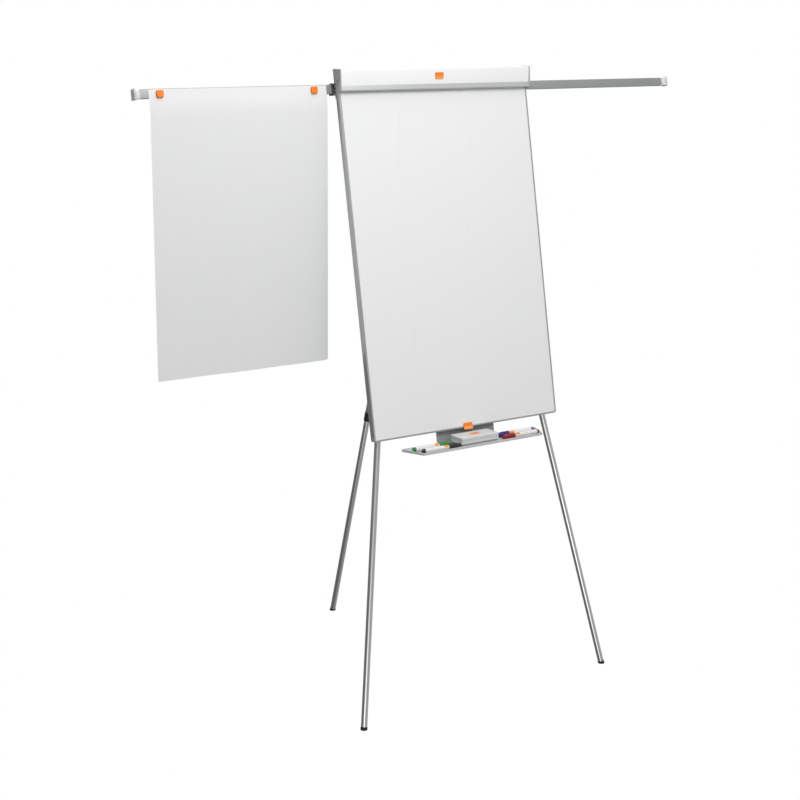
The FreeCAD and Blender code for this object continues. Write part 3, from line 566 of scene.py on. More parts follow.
def badge_orange(name, split_z, pale=(1.0, 0.37, 0.09)):
    finish = Finish(name)
    lower = finish.along("Z") < split_z
    finish.relief(finish.noise(1400.0, 2.0), 0.00002, 0.4)
    return finish.surface(Base_Color=finish.mix(lower, ORANGE, pale), Roughness=0.38)


low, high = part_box("clamp_badge")
split = low[2] + 0.45 * (high[2] - low[2])
low, high = span("clamp_badge")
tilt = CLAMP_FOOT_BACK / (top_front - span("clamp_bar")[0][2])
badge_corners = rectangle(low[[0, 2]], high[[0, 2]])


def on_bar(outline, depth):
    """Outline of (x, s) points on the bar's slanting front, raised by a depth."""
    n = high[1] - (outline[:, 1:] - low[2]) * tilt - depth
    return outline[:, :1] * RIGHT + n * BACK + outline[:, 1:] * UP


slant_end = high[1] - (high[2] - low[2]) * tilt
badge_wall = slant_end - low[1]
stand_for("clamp_badge_skin", [plate(badge_corners, 0.0028, 0.0, badge_wall, 0.0005, on_bar)],
          badge_orange("clamp_badge_orange", split), "clamp_badge")

low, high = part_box("board_badge")
split = low[2] + 0.5 * (high[2] - low[2])
low, high = span("board_badge")
BADGE_WALL = 0.0012
BADGE_ROUND = 0.0036
face_n = board_low[1]
foot = board_low[2] - low[2]
knee_s = board_low[2] + foot
middle = (low[0] + high[0]) / 2
half_width = (high[0] - low[0]) / 2
quarter = np.linspace(0, math.pi / 2, 6)
lower_arc = low[2] + BADGE_ROUND * (1 - np.cos(quarter))
upper_arc = high[2] - BADGE_ROUND * (1 - np.cos(quarter[::-1]))
heights = np.concatenate([lower_arc, [board_low[2], knee_s - 0.001, knee_s, knee_s + 0.001], upper_arc])
heights = np.sort(heights)
front = np.interp(heights, [low[2] + foot / 2, knee_s], [low[1], face_n - BADGE_WALL])
near_edge = np.minimum(heights - low[2], high[2] - heights)
drop = BADGE_ROUND - np.minimum(near_edge, BADGE_ROUND)
wide = half_width - BADGE_ROUND + np.sqrt(BADGE_ROUND ** 2 - drop ** 2)
badge_rings = [along_s(rounded(rectangle((middle - w, n), (middle + w, n + BADGE_WALL)), 0.0005), s)
               for w, n, s in zip(wide, front, heights)]
hook_low = low[2] + 0.0004
hook_outline = [(low[1] + BADGE_WALL / 2, hook_low), (high[1], hook_low), (high[1], board_low[2]),
                (low[1] + BADGE_WALL, board_low[2])]
hook = plate(hook_outline, [0.0003, 0.0006, 0.0004, 0.0003], low[0] + BADGE_ROUND,
             high[0] - BADGE_ROUND, 0.0003, along_x)
stand_for("board_badge_skin", [loft(badge_rings), hook],
          badge_orange("board_badge_orange", split), "board_badge")


# ---- Arm channel and side arms
# A channel of anodised aluminium runs along the board's back. Two flat hollow bars slide in
# its two tracks through moulded bushes, and each ends in a milky cap with a flange.
dress(drawn_metal("channel_metal", FRAME_GREY, RIGHT), "arm_channel")
bush_plastic = moulded("bush_moulding", (0.075, 0.077, 0.08), roughness=0.5)
SLIDE_GAP = 0.0004
BUSH_ROUND = 0.0025
MOUTH_ROUND = 0.0012
BUSH_EDGE = 0.0008
for bush, bar, side in (("arm_bush_left", "left_arm_bar", -1), ("arm_bush_right", "right_arm_bar", 1)):
    low, high = span(bush)
    bar_low, bar_high = span(bar)
    outer = rectangle(low[1:], high[1:])
    mouth = rectangle(bar_low[1:], bar_high[1:], -SLIDE_GAP)
    back, face = (high[0], low[0]) if side < 0 else (low[0], high[0])
    bevel = face - side * BUSH_EDGE
    rings = [along_x(rounded(outer, BUSH_ROUND), back), along_x(rounded(outer, BUSH_ROUND), bevel),
             along_x(rounded(outer, BUSH_ROUND, BUSH_EDGE), face),
             along_x(rounded(mouth, MOUTH_ROUND, -BUSH_EDGE), face),
             along_x(rounded(mouth, MOUTH_ROUND), bevel), along_x(rounded(mouth, MOUTH_ROUND), back)]
    stand_for(bush + "_skin", [loft(rings, loop=True)], bush_plastic, bush)

arm_metal = drawn_metal("arm_metal", (0.37, 0.375, 0.38), RIGHT, 0.48, 0.35)
for bar in ("left_arm_bar", "right_arm_bar"):
    low, high = span(bar)
    outline = rectangle(low[1:], high[1:])
    stand_for(bar + "_skin", [plate(outline, 0.0016, low[0], high[0], 0.0002, along_x)], arm_metal, bar)


def milky():
    finish = Finish("milky_cap")
    cloud = finish.noise(60.0, 2.0)
    finish.relief(finish.noise(900.0, 2.0), 0.00002, 0.4)
    return finish.surface(Base_Color=finish.mix(cloud, (0.88, 0.885, 0.89), (0.94, 0.945, 0.95)),
                          Roughness=0.28 + cloud * 0.1, Subsurface_Weight=0.8,
                          Subsurface_Radius=(1.0, 1.0, 1.0), Subsurface_Scale=0.02)


CAP_PLUG_INSET = 0.0017     # the plug inside the bar's outer faces
CAP_PLUG = 0.018
CAP_NECK_STEP = 0.001
CAP_NECK_INSET = 0.0005
CAP_FLANGE = 0.004
milky_plastic = milky()
for cap, bar, side in (("left_arm_cap", "left_arm_bar", -1), ("right_arm_cap", "right_arm_bar", 1)):
    low, high = span(cap)
    bar_low, bar_high = span(bar)
    bar_end, tip = (bar_low[0], low[0]) if side < 0 else (bar_high[0], high[0])
    plug = rectangle(bar_low[1:], bar_high[1:], CAP_PLUG_INSET)
    neck = rectangle((low[1] + CAP_NECK_STEP, bar_low[2] + CAP_NECK_INSET),
                     (high[1] - CAP_NECK_STEP, bar_high[2] - CAP_NECK_INSET))
    rim = rectangle(low[1:], high[1:])
    rim_start = tip - side * CAP_FLANGE
    spans = [sorted(ends) for ends in ((bar_end - side * CAP_PLUG, bar_end), (bar_end, rim_start),
                                       (rim_start, tip))]
    stand_for(cap + "_skin", [plate(plug, 0.0008, *spans[0], 0.0003, along_x),
                              plate(neck, 0.0022, *spans[1], 0.0003, along_x),
                              plate(rim, 0.0035, *spans[2], 0.0011, along_x)], milky_plastic, cap)


# ---- Sheet of paper and its magnets
# A sheet of uncoated flipchart paper lies on the arm's front and then hangs straight down,
# with a soft buckle and one curling edge. Two square magnets in orange plastic hold it.
def paper():
    finish = Finish("flipchart_paper")
    fibre = finish.noise(520.0, 4.0)
    cloud = finish.noise(22.0, 3.0)
    finish.relief(fibre, 0.00005, 0.4)
    return finish.surface(Base_Color=finish.mix(cloud, (0.825, 0.83, 0.83), (0.85, 0.855, 0.855)),
                          Roughness=0.86 + fibre * 0.08, Specular_IOR_Level=0.25)


SHEET_FLAT = (0.566, 0.812)
PAPER = 0.0002
SHEET_BEND = 0.06           # length over which the sheet turns from the slant to plumb


def hung_sheet(left, start, held, rows=131, columns=97):
    """Grid of points on the hanging sheet, row by row from its top.

    Its slope is the board's lean while it is held, and falls to plumb by the smooth step
    3t^2 - 2t^3; sines and cosines of the slope are summed, so the sheet keeps its length. Two sine
    waves across it buckle it, a quarter sine down it swells it, and its right edge curls by the
    square of the distance.
    """
    across = np.linspace(0, 1, columns)[None, :]
    down = np.linspace(0, 1, rows)[:, None] * SHEET_FLAT[1]
    hang = np.clip((down - held) / SHEET_BEND, 0, 1)
    angle = LEAN * (1 - hang * hang * (3 - 2 * hang))
    step = SHEET_FLAT[1] / (rows - 1)
    y_down = -np.cumsum(np.sin(angle) * step, 0) + np.sin(angle[:1]) * step
    z_down = -np.cumsum(np.cos(angle) * step, 0) + np.cos(angle[:1]) * step
    free = np.clip((down - held) / (SHEET_FLAT[1] - held), 0, 1)
    buckle = (0.0022 * np.sin(2 * math.pi * (1.15 * across + 0.12))
              + 0.0014 * np.sin(2 * math.pi * (2.6 * across + 0.5 * free)))
    curl = 0.005 * np.clip((across - 0.93) / 0.07, 0, 1) ** 2 * (0.3 + 0.7 * free)
    swell = 0.005 * np.sin(math.pi * free / 2) ** 2
    x = left + across * SHEET_FLAT[0]
    y = start[1] + y_down + (buckle + swell) * free ** 0.8 + curl * np.clip(free * 4, 0, 1)
    return np.stack(np.broadcast_arrays(x, y, start[2] + z_down), -1)


high = span("paper_sheet")[1]
arm_low = span("left_arm_bar")[0]
start = (arm_low[1] - PAPER) * BACK + high[2] * UP
grid = hung_sheet(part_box("paper_sheet")[0][0], start, high[2] - arm_low[2])
rows, columns = grid.shape[:2]
index = np.arange(rows * columns).reshape(rows, columns)
quads = np.stack([index[:-1, :-1], index[1:, :-1], index[1:, 1:], index[:-1, 1:]], -1).reshape(-1, 4)
mesh = bpy.data.meshes.new("hanging_sheet")
mesh.from_pydata(grid.reshape(-1, 3).tolist(), [], quads.tolist())
mesh.shade_smooth()
mesh.materials.append(paper().material)
sheet = bpy.data.objects.new("hanging_sheet", mesh)
bpy.context.scene.collection.objects.link(sheet)
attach(sheet, "left_arm")
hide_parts("paper_sheet")
arm_middle = sum(span("left_arm_bar")) / 2
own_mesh(sheet)

low, high = span("sheet_magnets")
half = (high[2] - low[2]) / 2
middle_s = (low[2] + high[2]) / 2
MAGNET_CORNER = 0.0045
magnet_levels = [(0.0006, high[1]), (0.0, high[1] - 0.0008), (0.0, low[1] + 0.0024),
                 (0.0005, low[1] + 0.0011), (0.0014, low[1] + 0.0003), (0.0026, low[1]),
                 (0.0034, low[1] + 0.0001), (0.0038, low[1] + 0.0006)]      # a dished front
magnet_parts = []
for x in (low[0] + half, high[0] - half):
    square = rectangle((x - half, middle_s - half), (x + half, middle_s + half))
    magnet_parts.append(loft([on_face(rounded(square, MAGNET_CORNER, i), n) for i, n in magnet_levels]))
magnet_orange = moulded("magnet_orange", ORANGE, 0.00002, 0.34)
stand_for("magnet_covers", magnet_parts, magnet_orange, "sheet_magnets")


# ---- Head behind the board
# A pressed steel plate with two flanges is screwed to the board's back. Two shouldered studs
# carry the front legs, and a riveted fork with a cross bolt carries the rear leg.
steel_grey = powder_coat("grey_steel_coat", (0.35, 0.355, 0.36), 0.45, 0.00005)
low, high = span("head_plate")
PLATE_WALL = 0.003
FLANGE = 0.009
back_n = low[1] + PLATE_WALL
upper = [(low[1], low[2]), (back_n, low[2]), (back_n, high[2] - PLATE_WALL),
         (back_n + FLANGE, high[2] - PLATE_WALL), (back_n + FLANGE, high[2]), (low[1], high[2])]
swing = {j["name"]: j for j in frame["joints"]}
stud_x = swing["front_right_leg_swing"]["pos_m"][0]
LEG_CLEARANCE = 0.0225      # from a stud's middle to the end of the lower flange
lower_x = stud_x - LEG_CLEARANCE
lower = rectangle((low[1] + 0.0002, low[2]), (back_n + FLANGE, low[2] + PLATE_WALL))
upper_radii = [0.0004, 0.0004, 0.001, 0.0012, 0.0012, 0.0035]
stand_for("head_plate_skin", [plate(upper, upper_radii, low[0], high[0], 0.0005, along_x),
                              plate(lower, 0.0009, -lower_x, lower_x, 0.0005, along_x)],
          steel_grey, "head_plate")

low, high = span("rear_leg_fork")
bolt_low, bolt_high = span("rear_leg_bolt")
fold_pivot = np.array(swing["rear_leg_fold"]["pos_m"])
fold_n = fold_pivot @ BACK
fold_s = fold_pivot @ UP
EAR = 0.0025
EAR_R = 0.012
ROOT = 0.026
BOLT_HEAD = 0.004
ear_x = bolt_high[0] - BOLT_HEAD
base = rectangle(low[[0, 2]], high[[0, 2]])
ear = [(low[1], fold_s - ROOT), (fold_n + EAR_R, fold_s - EAR_R), (fold_n + EAR_R, fold_s + EAR_R),
       (low[1], fold_s + ROOT)]
ear_radii = [0.0, EAR_R * 0.92, EAR_R * 0.92, 0.0]
fork_parts = [plate(base, 0.003, low[1], low[1] + EAR, 0.0005, on_face)]
for x0, x1 in ((-ear_x, EAR - ear_x), (ear_x - EAR, ear_x)):
    fork_parts.append(plate(ear, ear_radii, x0, x1, 0.0004, along_x, 10))
stand_for("rear_fork_skin", fork_parts, steel_grey, "rear_leg_fork")


def hexagon(centre_n, centre_s, flats):
    """Corners of a hexagon, measured across its flats."""
    angle = np.arange(6) * math.pi / 3
    reach = flats / math.sqrt(3)
    return np.stack([centre_n + reach * np.cos(angle), centre_s + reach * np.sin(angle)], 1)


BOLT_R = 0.003
BOLT_FLATS = 0.0098
bolt_parts = [solid_of([(0, BOLT_R), (bolt_high[0] - bolt_low[0], BOLT_R)], [0.0004, 0.0004],
                       np.array([bolt_low[0], *fold_pivot[1:]]), RIGHT, 32)]
for x0, x1 in ((bolt_low[0], bolt_low[0] + BOLT_HEAD), (bolt_high[0] - BOLT_HEAD, bolt_high[0])):
    bolt_parts.append(plate(hexagon(fold_n, fold_s, BOLT_FLATS), 0.0004, x0, x1, 0.0005, along_x, 2))
stand_for("rear_bolt_skin", bolt_parts, zinc_plate, "rear_leg_bolt")

low, high = span("front_leg_studs")
STUD_NECK = 0.0128          # the leg's tongue turns here
STUD_HEAD_R = 0.0055
boss = (high[2] - low[2]) / 2
length = high[1] - low[1]
neck_end = length - BOLT_HEAD
boss_end = length - BOLT_HEAD - STUD_NECK
stud_outline = [(0, boss), (boss_end, boss), (boss_end, BOLT_R), (neck_end, BOLT_R),
                (neck_end, STUD_HEAD_R), (length, STUD_HEAD_R)]
stud_radii = [0.0003, 0.0006, 0.0003, 0.0003, 0.0005, 0.0016]
stud_parts = []
for x in (-stud_x, stud_x):
    start = x * RIGHT + low[1] * BACK + (low[2] + high[2]) / 2 * UP
    stud_parts.append(solid_of(stud_outline, stud_radii, start, BACK, 40))
stand_for("front_studs_skin", stud_parts, zinc_plate, "front_leg_studs")


# ---- Legs
# Each leg is two polished aluminium tubes. The inner one slides in a moulded guide bush and is
# held by a black twist-lock collar with finger ribs; it ends in a rubber foot cut level.
def reach_of(node, start, direction):
    """Nearest and farthest place of a node along an axis, and its largest radius."""
    offset = corners_of(node) - start
    distance = offset @ direction
    radius = np.linalg.norm(offset - distance[:, None] * direction, axis=1)
    return distance.min(), distance.max(), radius.max()


def tube_metal(name, direction):
    """Polished drawn tube: bright, with hair lines along it and faint sliding marks."""
    finish = Finish(name)
    turn = tuple(Vector(direction).rotation_difference(Vector((0, 0, 1))).to_euler())
    lines = finish.noise(1500.0, 2.0, scale=(1.0, 1.0, 0.003), turn=turn)
    rubbed = finish.noise(30.0, 3.0, scale=(1.0, 1.0, 0.15), turn=turn)
    finish.relief(lines, 0.000008, 0.3)
    return finish.surface(Base_Color=finish.mix(lines, (0.66, 0.67, 0.675), (0.76, 0.765, 0.77)),
                          Metallic=0.95, Roughness=0.2 + rubbed * 0.1)


def rubber():
    finish = Finish("foot_rubber")
    finish.relief(finish.noise(900.0, 3.0), 0.00008, 0.6)
    dust = finish.noise(80.0, 3.0)
    return finish.surface(Base_Color=finish.mix(dust, (0.012, 0.012, 0.012), (0.03, 0.03, 0.031)),
                          Roughness=0.7 + dust * 0.15)


COLLAR_EDGE = 0.0012
RIBS = 24
RIB_DEPTH = 0.0009
RIB_BAND = (0.006, 0.0068, 0.0075, 0.0135, 0.0142, 0.015)      # the ribs rise, run and fade


def ribbed_collar(length, radius, start, direction):
    """Turned collar whose middle band has finger ribs: the radius rises and falls round it."""
    edge = COLLAR_EDGE
    distance = np.array([0.0, 0.0, edge * 0.3, edge, *RIB_BAND, length - edge, length - edge * 0.3,
                         length, length])
    base = np.full(len(distance), radius)
    base[[0, -1]] = 0.0
    base[[1, -2]] = radius - edge
    base[[2, -3]] = radius - edge * 0.3
    ribbed = np.zeros(len(distance))
    ribbed[6:8] = 1.0
    ribbed[[5, 8]] = 0.4
    turns = np.linspace(0, 2 * math.pi, 144, endpoint=False)
    depth = RIB_DEPTH * (0.5 - 0.5 * np.cos(RIBS * turns))
    across = np.cross(direction, RIGHT)
    across /= np.linalg.norm(across)
    circle = np.cos(turns)[:, None] * across + np.sin(turns)[:, None] * np.cross(direction, across)
    spread = base[:, None] - ribbed[:, None] * depth
    return loft(start + distance[:, None, None] * direction + spread[..., None] * circle, loop=True)


FOOT_LIP = 0.0004
FOOT_GROOVE = (0.0028, 0.0032, 0.0036)      # start, bottom and end, below the tube's end
FOOT_GROOVE_DEPTH = 0.0005
FOOT_SPARE = 0.004          # turned past the floor, then cut level with it
NECK = 0.004
NECK_STEP = 0.0011
TONGUE_INSET = 0.002
foot_rubber = rubber()
for leg, joint in (("front_left", "front_left_leg_swing"), ("front_right", "front_right_leg_swing"),
                   ("rear", "rear_leg_fold")):
    pivot = np.array(swing[joint]["pos_m"])
    down_leg = -np.array(swing[leg + "_leg_slide"]["axis"])
    metal = tube_metal(leg + "_tube_metal", down_leg)
    for tube in (leg + "_outer_tube", leg + "_inner_tube"):
        near, far, radius = reach_of(tube, pivot, down_leg)
        stand_for(tube + "_skin",
                  [solid_of([(near, radius), (far, radius)], [0.0004] * 2, pivot, down_leg, 64)],
                  metal, tube)
    near, far, radius = reach_of(leg + "_collar", pivot, down_leg)
    stand_for(leg + "_collar_skin",
              [ribbed_collar(far - near, radius, pivot + near * down_leg, down_leg)],
              black_plastic, leg + "_collar", sharp=50)
    near, far, radius = reach_of(leg + "_foot", pivot, down_leg)
    _, top, tube_radius = reach_of(leg + "_inner_tube", pivot, down_leg)
    groove = [top + distance for distance in FOOT_GROOVE]
    foot_outline = [(top, tube_radius * 0.96), (top + FOOT_LIP, radius), (groove[0], radius),
                    (groove[1], radius - FOOT_GROOVE_DEPTH), (groove[2], radius), (far + FOOT_SPARE, radius)]
    foot_radii = [0.0002, 0.0003, 0.0002, 0.0002, 0.0002, 0.0]
    points, sides = solid_of(foot_outline, foot_radii, pivot, down_leg, 64)
    under = np.minimum(points[:, 2:], 0.0)
    points = points - under * down_leg / down_leg[2]
    stand_for(leg + "_foot_skin", [(points, sides)], foot_rubber, leg + "_foot")
    dress(black_plastic, leg + "_guide_bush")

    far = reach_of(leg + "_top_joint", pivot, down_leg)[1]
    bolt, half_thick = (BACK, 0.006) if leg != "rear" else (RIGHT, 0.009)
    cross = np.cross(down_leg, bolt)
    shoulder, _, tube_radius = reach_of(leg + "_outer_tube", pivot, down_leg)
    half_wide = tube_radius - TONGUE_INSET
    tongue_outline = rectangle((-half_wide, -half_wide), (half_wide, shoulder - NECK))

    def on_leg(outline, depth):
        """Outline of points across and down the leg, at a depth along its bolt."""
        return pivot + outline[:, :1] * cross + outline[:, 1:] * down_leg + depth * bolt

    tongue_radii = [half_wide, half_wide, 0.0004, 0.0004]
    tongue = plate(tongue_outline, tongue_radii, -half_thick, half_thick, 0.0007, on_leg, 10)
    inside = tube_radius - NECK_STEP
    neck_outline = [(shoulder - NECK, tube_radius), (shoulder, tube_radius), (shoulder, inside),
                    (far, inside)]
    neck = solid_of(neck_outline, [0.0009, 0.0002, 0.0002, 0.001], pivot, down_leg, 48)
    stand_for(leg + "_top_joint_skin", [tongue, neck], black_plastic, leg + "_top_joint")


# ---- Tray bracket and pen tray
# A folded steel bracket is screwed to the board's back and runs forward under the tray, a
# shallow pan of coated sheet steel with a rolled rim.
low, high = span("tray_bracket")
box_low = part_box("tray_bracket")[0]
BRACKET = 0.0025
bend_top = box_low[2] + BRACKET
n_front = high[1] - BRACKET


def meets(n, z):
    """Height along the board where the plane at depth n reaches a world height z."""
    return (z - n * BACK[2]) / UP[2]


def upright(outline, x):
    """Outline of world (y, z) points at a place x."""
    return np.column_stack([np.full(len(outline), x), outline])


def board_yz(n, s):
    """World y and z of a point at depth n and height s on the board."""
    return (n * BACK + s * UP)[1:]


bracket_outline = [(box_low[1], box_low[2]), board_yz(high[1], meets(high[1], box_low[2])),
                   board_yz(high[1], high[2]), board_yz(n_front, high[2]),
                   board_yz(n_front, meets(n_front, bend_top)), (box_low[1], bend_top)]
bracket_radii = [0.0006, 0.0042, 0.0006, 0.0006, 0.0017, 0.0006]
stand_for("tray_bracket_skin", [plate(bracket_outline, bracket_radii, low[0], high[0], 0.0006, upright)],
          steel_grey, "tray_bracket")

TRAY_WALL = 0.0015
TRAY_CORNER = 0.004
tray_grey = powder_coat("tray_grey_coat", (0.60, 0.61, 0.615), 0.4, 0.00004)
tray_low, tray_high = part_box("pen_tray")
tray_points = corners_of("pen_tray")
front_half = tray_points[tray_points[:, 1] < tray_low[1] + 0.001][:, 0].max() + TRAY_CORNER * 0.73
tray_corners = [(tray_low[0], tray_high[1]), (-front_half, tray_low[1]), (front_half, tray_low[1]),
                (tray_high[0], tray_high[1])]
rim = tray_high[2]
floor_z = tray_low[2] + TRAY_WALL
tray_levels = [(0.0016, tray_low[2]), (0.0007, tray_low[2] + 0.0002), (0.0002, tray_low[2] + 0.0007),
               (0.0, tray_low[2] + 0.0016), (0.0, rim - 0.0008), (0.0002, rim - 0.0003), (0.00075, rim),
               (0.0013, rim - 0.0003), (TRAY_WALL, rim - 0.0008), (TRAY_WALL, floor_z + 0.0012),
               (TRAY_WALL + 0.0004, floor_z + 0.0004), (TRAY_WALL + 0.0014, floor_z)]
stand_for("pen_tray_skin", [loft([level(rounded(tray_corners, TRAY_CORNER, i), z) for i, z in tray_levels])],
          tray_grey, "pen_tray")


# ---- Eraser
# A moulded light grey shell with a softly crowned top and a plain orange label, over a block
# of pressed felt.
shell_low, shell_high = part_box("eraser_shell")
shell_corners = rectangle(shell_low[:2], shell_high[:2])
top = shell_high[2]
shell_levels = [(0.0008, shell_low[2]), (0.0, shell_low[2] + 0.0008), (0.0002, shell_low[2] + 0.004),
                (0.0012, shell_low[2] + 0.0065), (0.0012, shell_low[2] + 0.0095), (0.0004, top - 0.004),
                (0.0005, top - 0.003), (0.001, top - 0.0018), (0.0022, top - 0.0008), (0.004, top - 0.00025),
                (0.007, top - 0.00005), (0.012, top)]
stand_for("eraser_shell_skin", [loft([level(rounded(shell_corners, 0.0065, i), z) for i, z in shell_levels])],
          moulded("eraser_plastic", (0.66, 0.67, 0.675), roughness=0.5), "eraser_shell")

LABEL = np.array([0.0315, 0.0185])
LABEL_THICK = 0.00025
middle = (np.asarray(shell_low[:2]) + np.asarray(shell_high[:2])) / 2
label_corners = rectangle(middle - LABEL / 2, middle + LABEL / 2)
piece("eraser_label", [plate(label_corners, 0.003, top - LABEL_THICK, top + LABEL_THICK, 0.0001, level)],
      moulded("label_orange", ORANGE, 0.00001, 0.4), "eraser_shell")


def felt():
    finish = Finish("pressed_felt")
    hair = finish.noise(1100.0, 5.0)
    clump = finish.noise(160.0, 3.0)
    finish.relief(hair + clump, 0.0004, 0.8)
    return finish.surface(Base_Color=finish.mix(clump, (0.36, 0.365, 0.37), (0.50, 0.505, 0.51)),
                          Roughness=0.95, Sheen_Weight=0.3)


felt_low, felt_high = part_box("eraser_felt")
felt_corners = rectangle(felt_low[:2], felt_high[:2])
stand_for("eraser_felt_pad", [plate(felt_corners, 0.0035, felt_low[2], felt_high[2], 0.0012, level)], felt(),
          "eraser_felt")


# ---- Markers
# Four dry-wipe markers: a white barrel with a plain orange label, a coloured plug at the outer
# end, and a long cap of the same colour with a stepped, ribbed mouth.
def barrel_plastic(name, label_low, label_high, label_z):
    """White barrel with an orange label on its upper side."""
    finish = Finish(name)
    x = finish.along("X")
    label = (x > label_low) * (x < label_high) * (finish.along("Z") > label_z)
    finish.relief(finish.noise(1400.0, 2.0), 0.00001, 0.4)
    return finish.surface(Base_Color=finish.mix(label, (0.84, 0.845, 0.84), (1.0, 0.30, 0.03)),
                          Roughness=0.3, Coat_Weight=0.2)


INKS = {"green": (0.012, 0.26, 0.055), "black": (0.03, 0.03, 0.032), "blue": (0.035, 0.02, 0.19),
        "red": (0.27, 0.012, 0.018)}
PLUG = 0.008
CAP = 0.044
CLIP_HALF = 0.0017
CLIP_RISE = 0.0006
for ink, colour in INKS.items():
    node = "marker_cap_" + ink
    low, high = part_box(node)
    outwards = -1 if low[0] < 0 else 1
    outer_x = low[0] if outwards < 0 else high[0]
    length = high[0] - low[0]
    radius = (high[2] - low[2]) / 2
    centre = np.array([outer_x, (low[1] + high[1]) / 2, (low[2] + high[2]) / 2])
    inwards = np.array([-float(outwards), 0.0, 0.0])
    cap_start = length - CAP
    barrel_r = radius - 0.001
    plug_outline = [(0, barrel_r - 0.0012), (0.0015, barrel_r - 0.0006), (0.003, barrel_r),
                    (PLUG, barrel_r)]
    plug = solid_of(plug_outline, [0.0009, 0.0004, 0.0004, 0.0002], centre, inwards, 40)
    cap_outline = [(cap_start, radius - 0.0006), (cap_start + 0.0012, radius), (cap_start + 0.004, radius),
                   (cap_start + 0.0046, radius - 0.0005), (cap_start + 0.0054, radius - 0.0005),
                   (cap_start + 0.006, radius), (length - 0.011, radius), (length - 0.009, radius - 0.0013),
                   (length, radius - 0.0019)]
    cap_radii = [0.0003, 0.0004, 0.0002, 0.0002, 0.0002, 0.0003, 0.0008, 0.0006, 0.0012]
    cap = solid_of(cap_outline, cap_radii, centre, inwards, 40)
    clip_x = sorted((outer_x - outwards * (cap_start + 0.002), outer_x - outwards * (length - 0.012)))
    clip = rectangle((clip_x[0], centre[1] - CLIP_HALF), (clip_x[1], centre[1] + CLIP_HALF))
    clip_part = plate(clip, 0.0012, centre[2] + radius * 0.8, high[2] + CLIP_RISE, 0.0004, level)
    stand_for("marker_cap_skin_" + ink, [plug, cap, clip_part],
              moulded("ink_" + ink, colour, 0.00001, 0.3, 0.1), node)
    label_x = sorted((outer_x - outwards * (cap_start - 0.018), outer_x - outwards * (cap_start - 0.002)))
    barrel = solid_of([(PLUG, barrel_r - 0.0003), (PLUG + 0.001, barrel_r), (cap_start - 0.004, barrel_r),
                       (cap_start, barrel_r - 0.0008), (cap_start + 0.010, barrel_r - 0.0008)],
                      [0.0003, 0.0003, 0.001, 0.0003, 0.0003], centre, inwards, 40)
    barrel_white = barrel_plastic("barrel_" + ink, *label_x, centre[2] + barrel_r * 0.35)
    piece("marker_barrel_" + ink, [barrel], barrel_white, "marker_barrels")
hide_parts("marker_barrels")


# ---- Screws
# Ten zinc-plated pan-head screws with a cross recess hold the bracket, the channel and the
# head plate. The recess is pressed in: the head's surface drops where two slots cross.
def pan_head(centre, radius, rise):
    """Dome of rings round the screw's axis; height falls by a cross-shaped recess near it."""
    share = np.linspace(1, 0, 13)[:, None]
    turns = np.linspace(0, 2 * math.pi, 48, endpoint=False)[None, :]
    dome = rise * (1 - share ** 4) ** 0.5
    across = share * radius * np.cos(turns)
    along = share * radius * np.sin(turns)
    slot = np.minimum(np.abs(across), np.abs(along))
    recess = np.clip((radius * 0.16 - slot) / (radius * 0.05), 0, 1) * np.clip((0.62 - share) / 0.1, 0, 1)
    height = dome - recess * rise * 0.75
    crown = centre + across[..., None] * RIGHT + along[..., None] * UP + height[..., None] * BACK
    foot = centre + across[:1, :, None] * RIGHT + along[:1, :, None] * UP + 0 * dome[:1, :, None] * BACK
    return loft(np.concatenate([foot - 0.0002 * BACK, crown]))


screw_points = corners_of("board_screws")
screw_flat = np.stack([screw_points @ RIGHT, screw_points @ UP], 1)
screw_n = screw_points @ BACK
SCREW_HEAD_R = 0.004
SCREW_RISE = 0.002
screw_heads = []
left = np.ones(len(screw_flat), bool)
while left.any():
    near = left & (np.linalg.norm(screw_flat - screw_flat[left][0], axis=1) < 3 * SCREW_HEAD_R)
    x, s = (screw_flat[near].min(0) + screw_flat[near].max(0)) / 2
    seat = screw_n[near].max() - SCREW_RISE
    screw_heads.append(pan_head(x * RIGHT + seat * BACK + s * UP, SCREW_HEAD_R, SCREW_RISE))
    left &= ~near
stand_for("board_screw_heads", screw_heads, zinc_plate, "board_screws")


# ---- Studio
# A seamless white floor and surroundings, a soft key light high in front, weaker ones overhead
# and behind, and surroundings that are brightest in front and dimmer at the sides.
floor_finish = Finish("studio_floor")
floor_finish.surface(Base_Color=(0.5, 0.5, 0.5), Roughness=0.9, Specular_IOR_Level=0.0)
lit = floor_finish.node("Emission", {}, {"Color": (1.0, 1.0, 1.0), "Strength": 1.0})
seen = floor_finish.node("LightPath", {}, {}, "Is Camera Ray")
bare = Socket(floor_finish.tree, floor_finish.shader.outputs[0])
blend = floor_finish.tree.nodes.new("ShaderNodeMixShader")
for place, value in enumerate((seen, bare, lit)):
    connect(floor_finish.tree, blend.inputs[place], value)
output = floor_finish.tree.nodes["Material Output"]
connect(floor_finish.tree, output.inputs["Surface"], Socket(floor_finish.tree, blend.outputs[0]))
floor_mesh = bpy.data.meshes.new("studio_floor")
FLOOR = 40.0
floor_mesh.from_pydata([(-FLOOR, -FLOOR, 0), (FLOOR, -FLOOR, 0), (FLOOR, FLOOR, 0), (-FLOOR, FLOOR, 0)], [],
                       [(0, 1, 2, 3)])
floor_mesh.materials.append(floor_finish.material)
floor = bpy.data.objects.new("studio_floor", floor_mesh)
bpy.context.scene.collection.objects.link(floor)
floor.visible_glossy = False


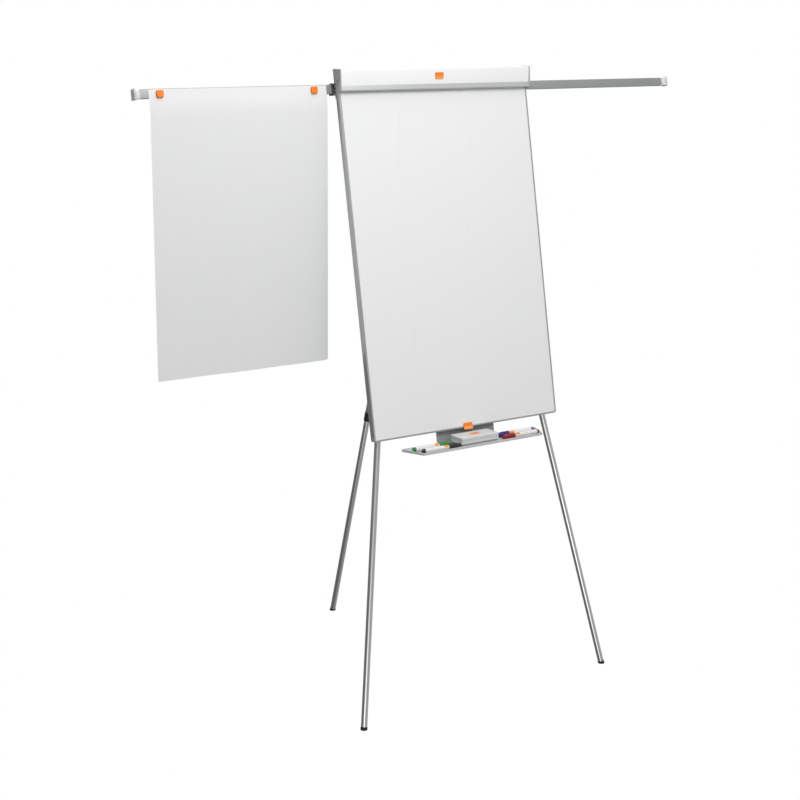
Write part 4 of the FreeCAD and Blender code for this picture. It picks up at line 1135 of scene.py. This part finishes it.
def soft_light(name, place, target, size, power):
    """Square lamp that faces a target."""
    lamp = bpy.data.lights.new(name, "AREA")
    lamp.size = size
    lamp.energy = power
    made = bpy.data.objects.new(name, lamp)
    made.location = place
    made.rotation_euler = (Vector(target) - Vector(place)).to_track_quat("-Z", "Y").to_euler()
    made.visible_camera = False
    bpy.context.scene.collection.objects.link(made)


soft_light("key", (-0.6, -2.6, 3.4), (0, -0.2, 1.6), 1.6, 56)
soft_light("overhead", (0.0, -0.4, 4.6), (0, -0.3, 0), 4.0, 40)
soft_light("back", (0.6, 3.4, 2.6), (0, 0, 1.2), 2.0, 50)

world = bpy.data.worlds.new("studio")
bpy.context.scene.world = world
world.use_nodes = True
sky = world.node_tree
background = sky.nodes["Background"]
spot = sky.nodes.new("ShaderNodeTexCoord")
parts = sky.nodes.new("ShaderNodeSeparateXYZ")
sky.links.new(spot.outputs["Generated"], parts.inputs[0])
sideways = Socket(sky, parts.outputs["X"])
forwards = Socket(sky, parts.outputs["Y"])
upwards = Socket(sky, parts.outputs["Z"])
path = sky.nodes.new("ShaderNodeLightPath")
direct = Socket(sky, path.outputs["Is Camera Ray"])
towards_front = sideways * -0.55 + forwards * -0.83
towards_front = towards_front.maths("MAXIMUM", towards_front, 0.0)
bright_front = towards_front.maths("POWER", towards_front, 10.0)
low_front = sideways * -0.53 + forwards * -0.80 + upwards * -0.28
low_front = low_front.maths("MAXIMUM", low_front, 0.0)
low_panel = low_front.maths("POWER", low_front, 25.0)
around = 0.33 + sideways * 0.2 + upwards * 0.1 + bright_front * 0.6 + low_panel * 2.2
connect(sky, background.inputs["Strength"], direct + (1 - direct) * around)
background.inputs["Color"].default_value = (1, 1, 1, 1)
bpy.context.scene.view_settings.view_transform = "Standard"

camera_data = bpy.data.cameras.new("camera")
camera_data.sensor_width = 36.0
camera_data.lens = 73.46
camera = bpy.data.objects.new("camera", camera_data)
camera.location = (-2.9026, -4.2304, 2.0260)
camera.rotation_euler = (math.radians(77.133), 0.0, math.radians(-34.258))
bpy.context.scene.collection.objects.link(camera)
bpy.context.scene.camera = camera

bpy.context.view_layer.update()
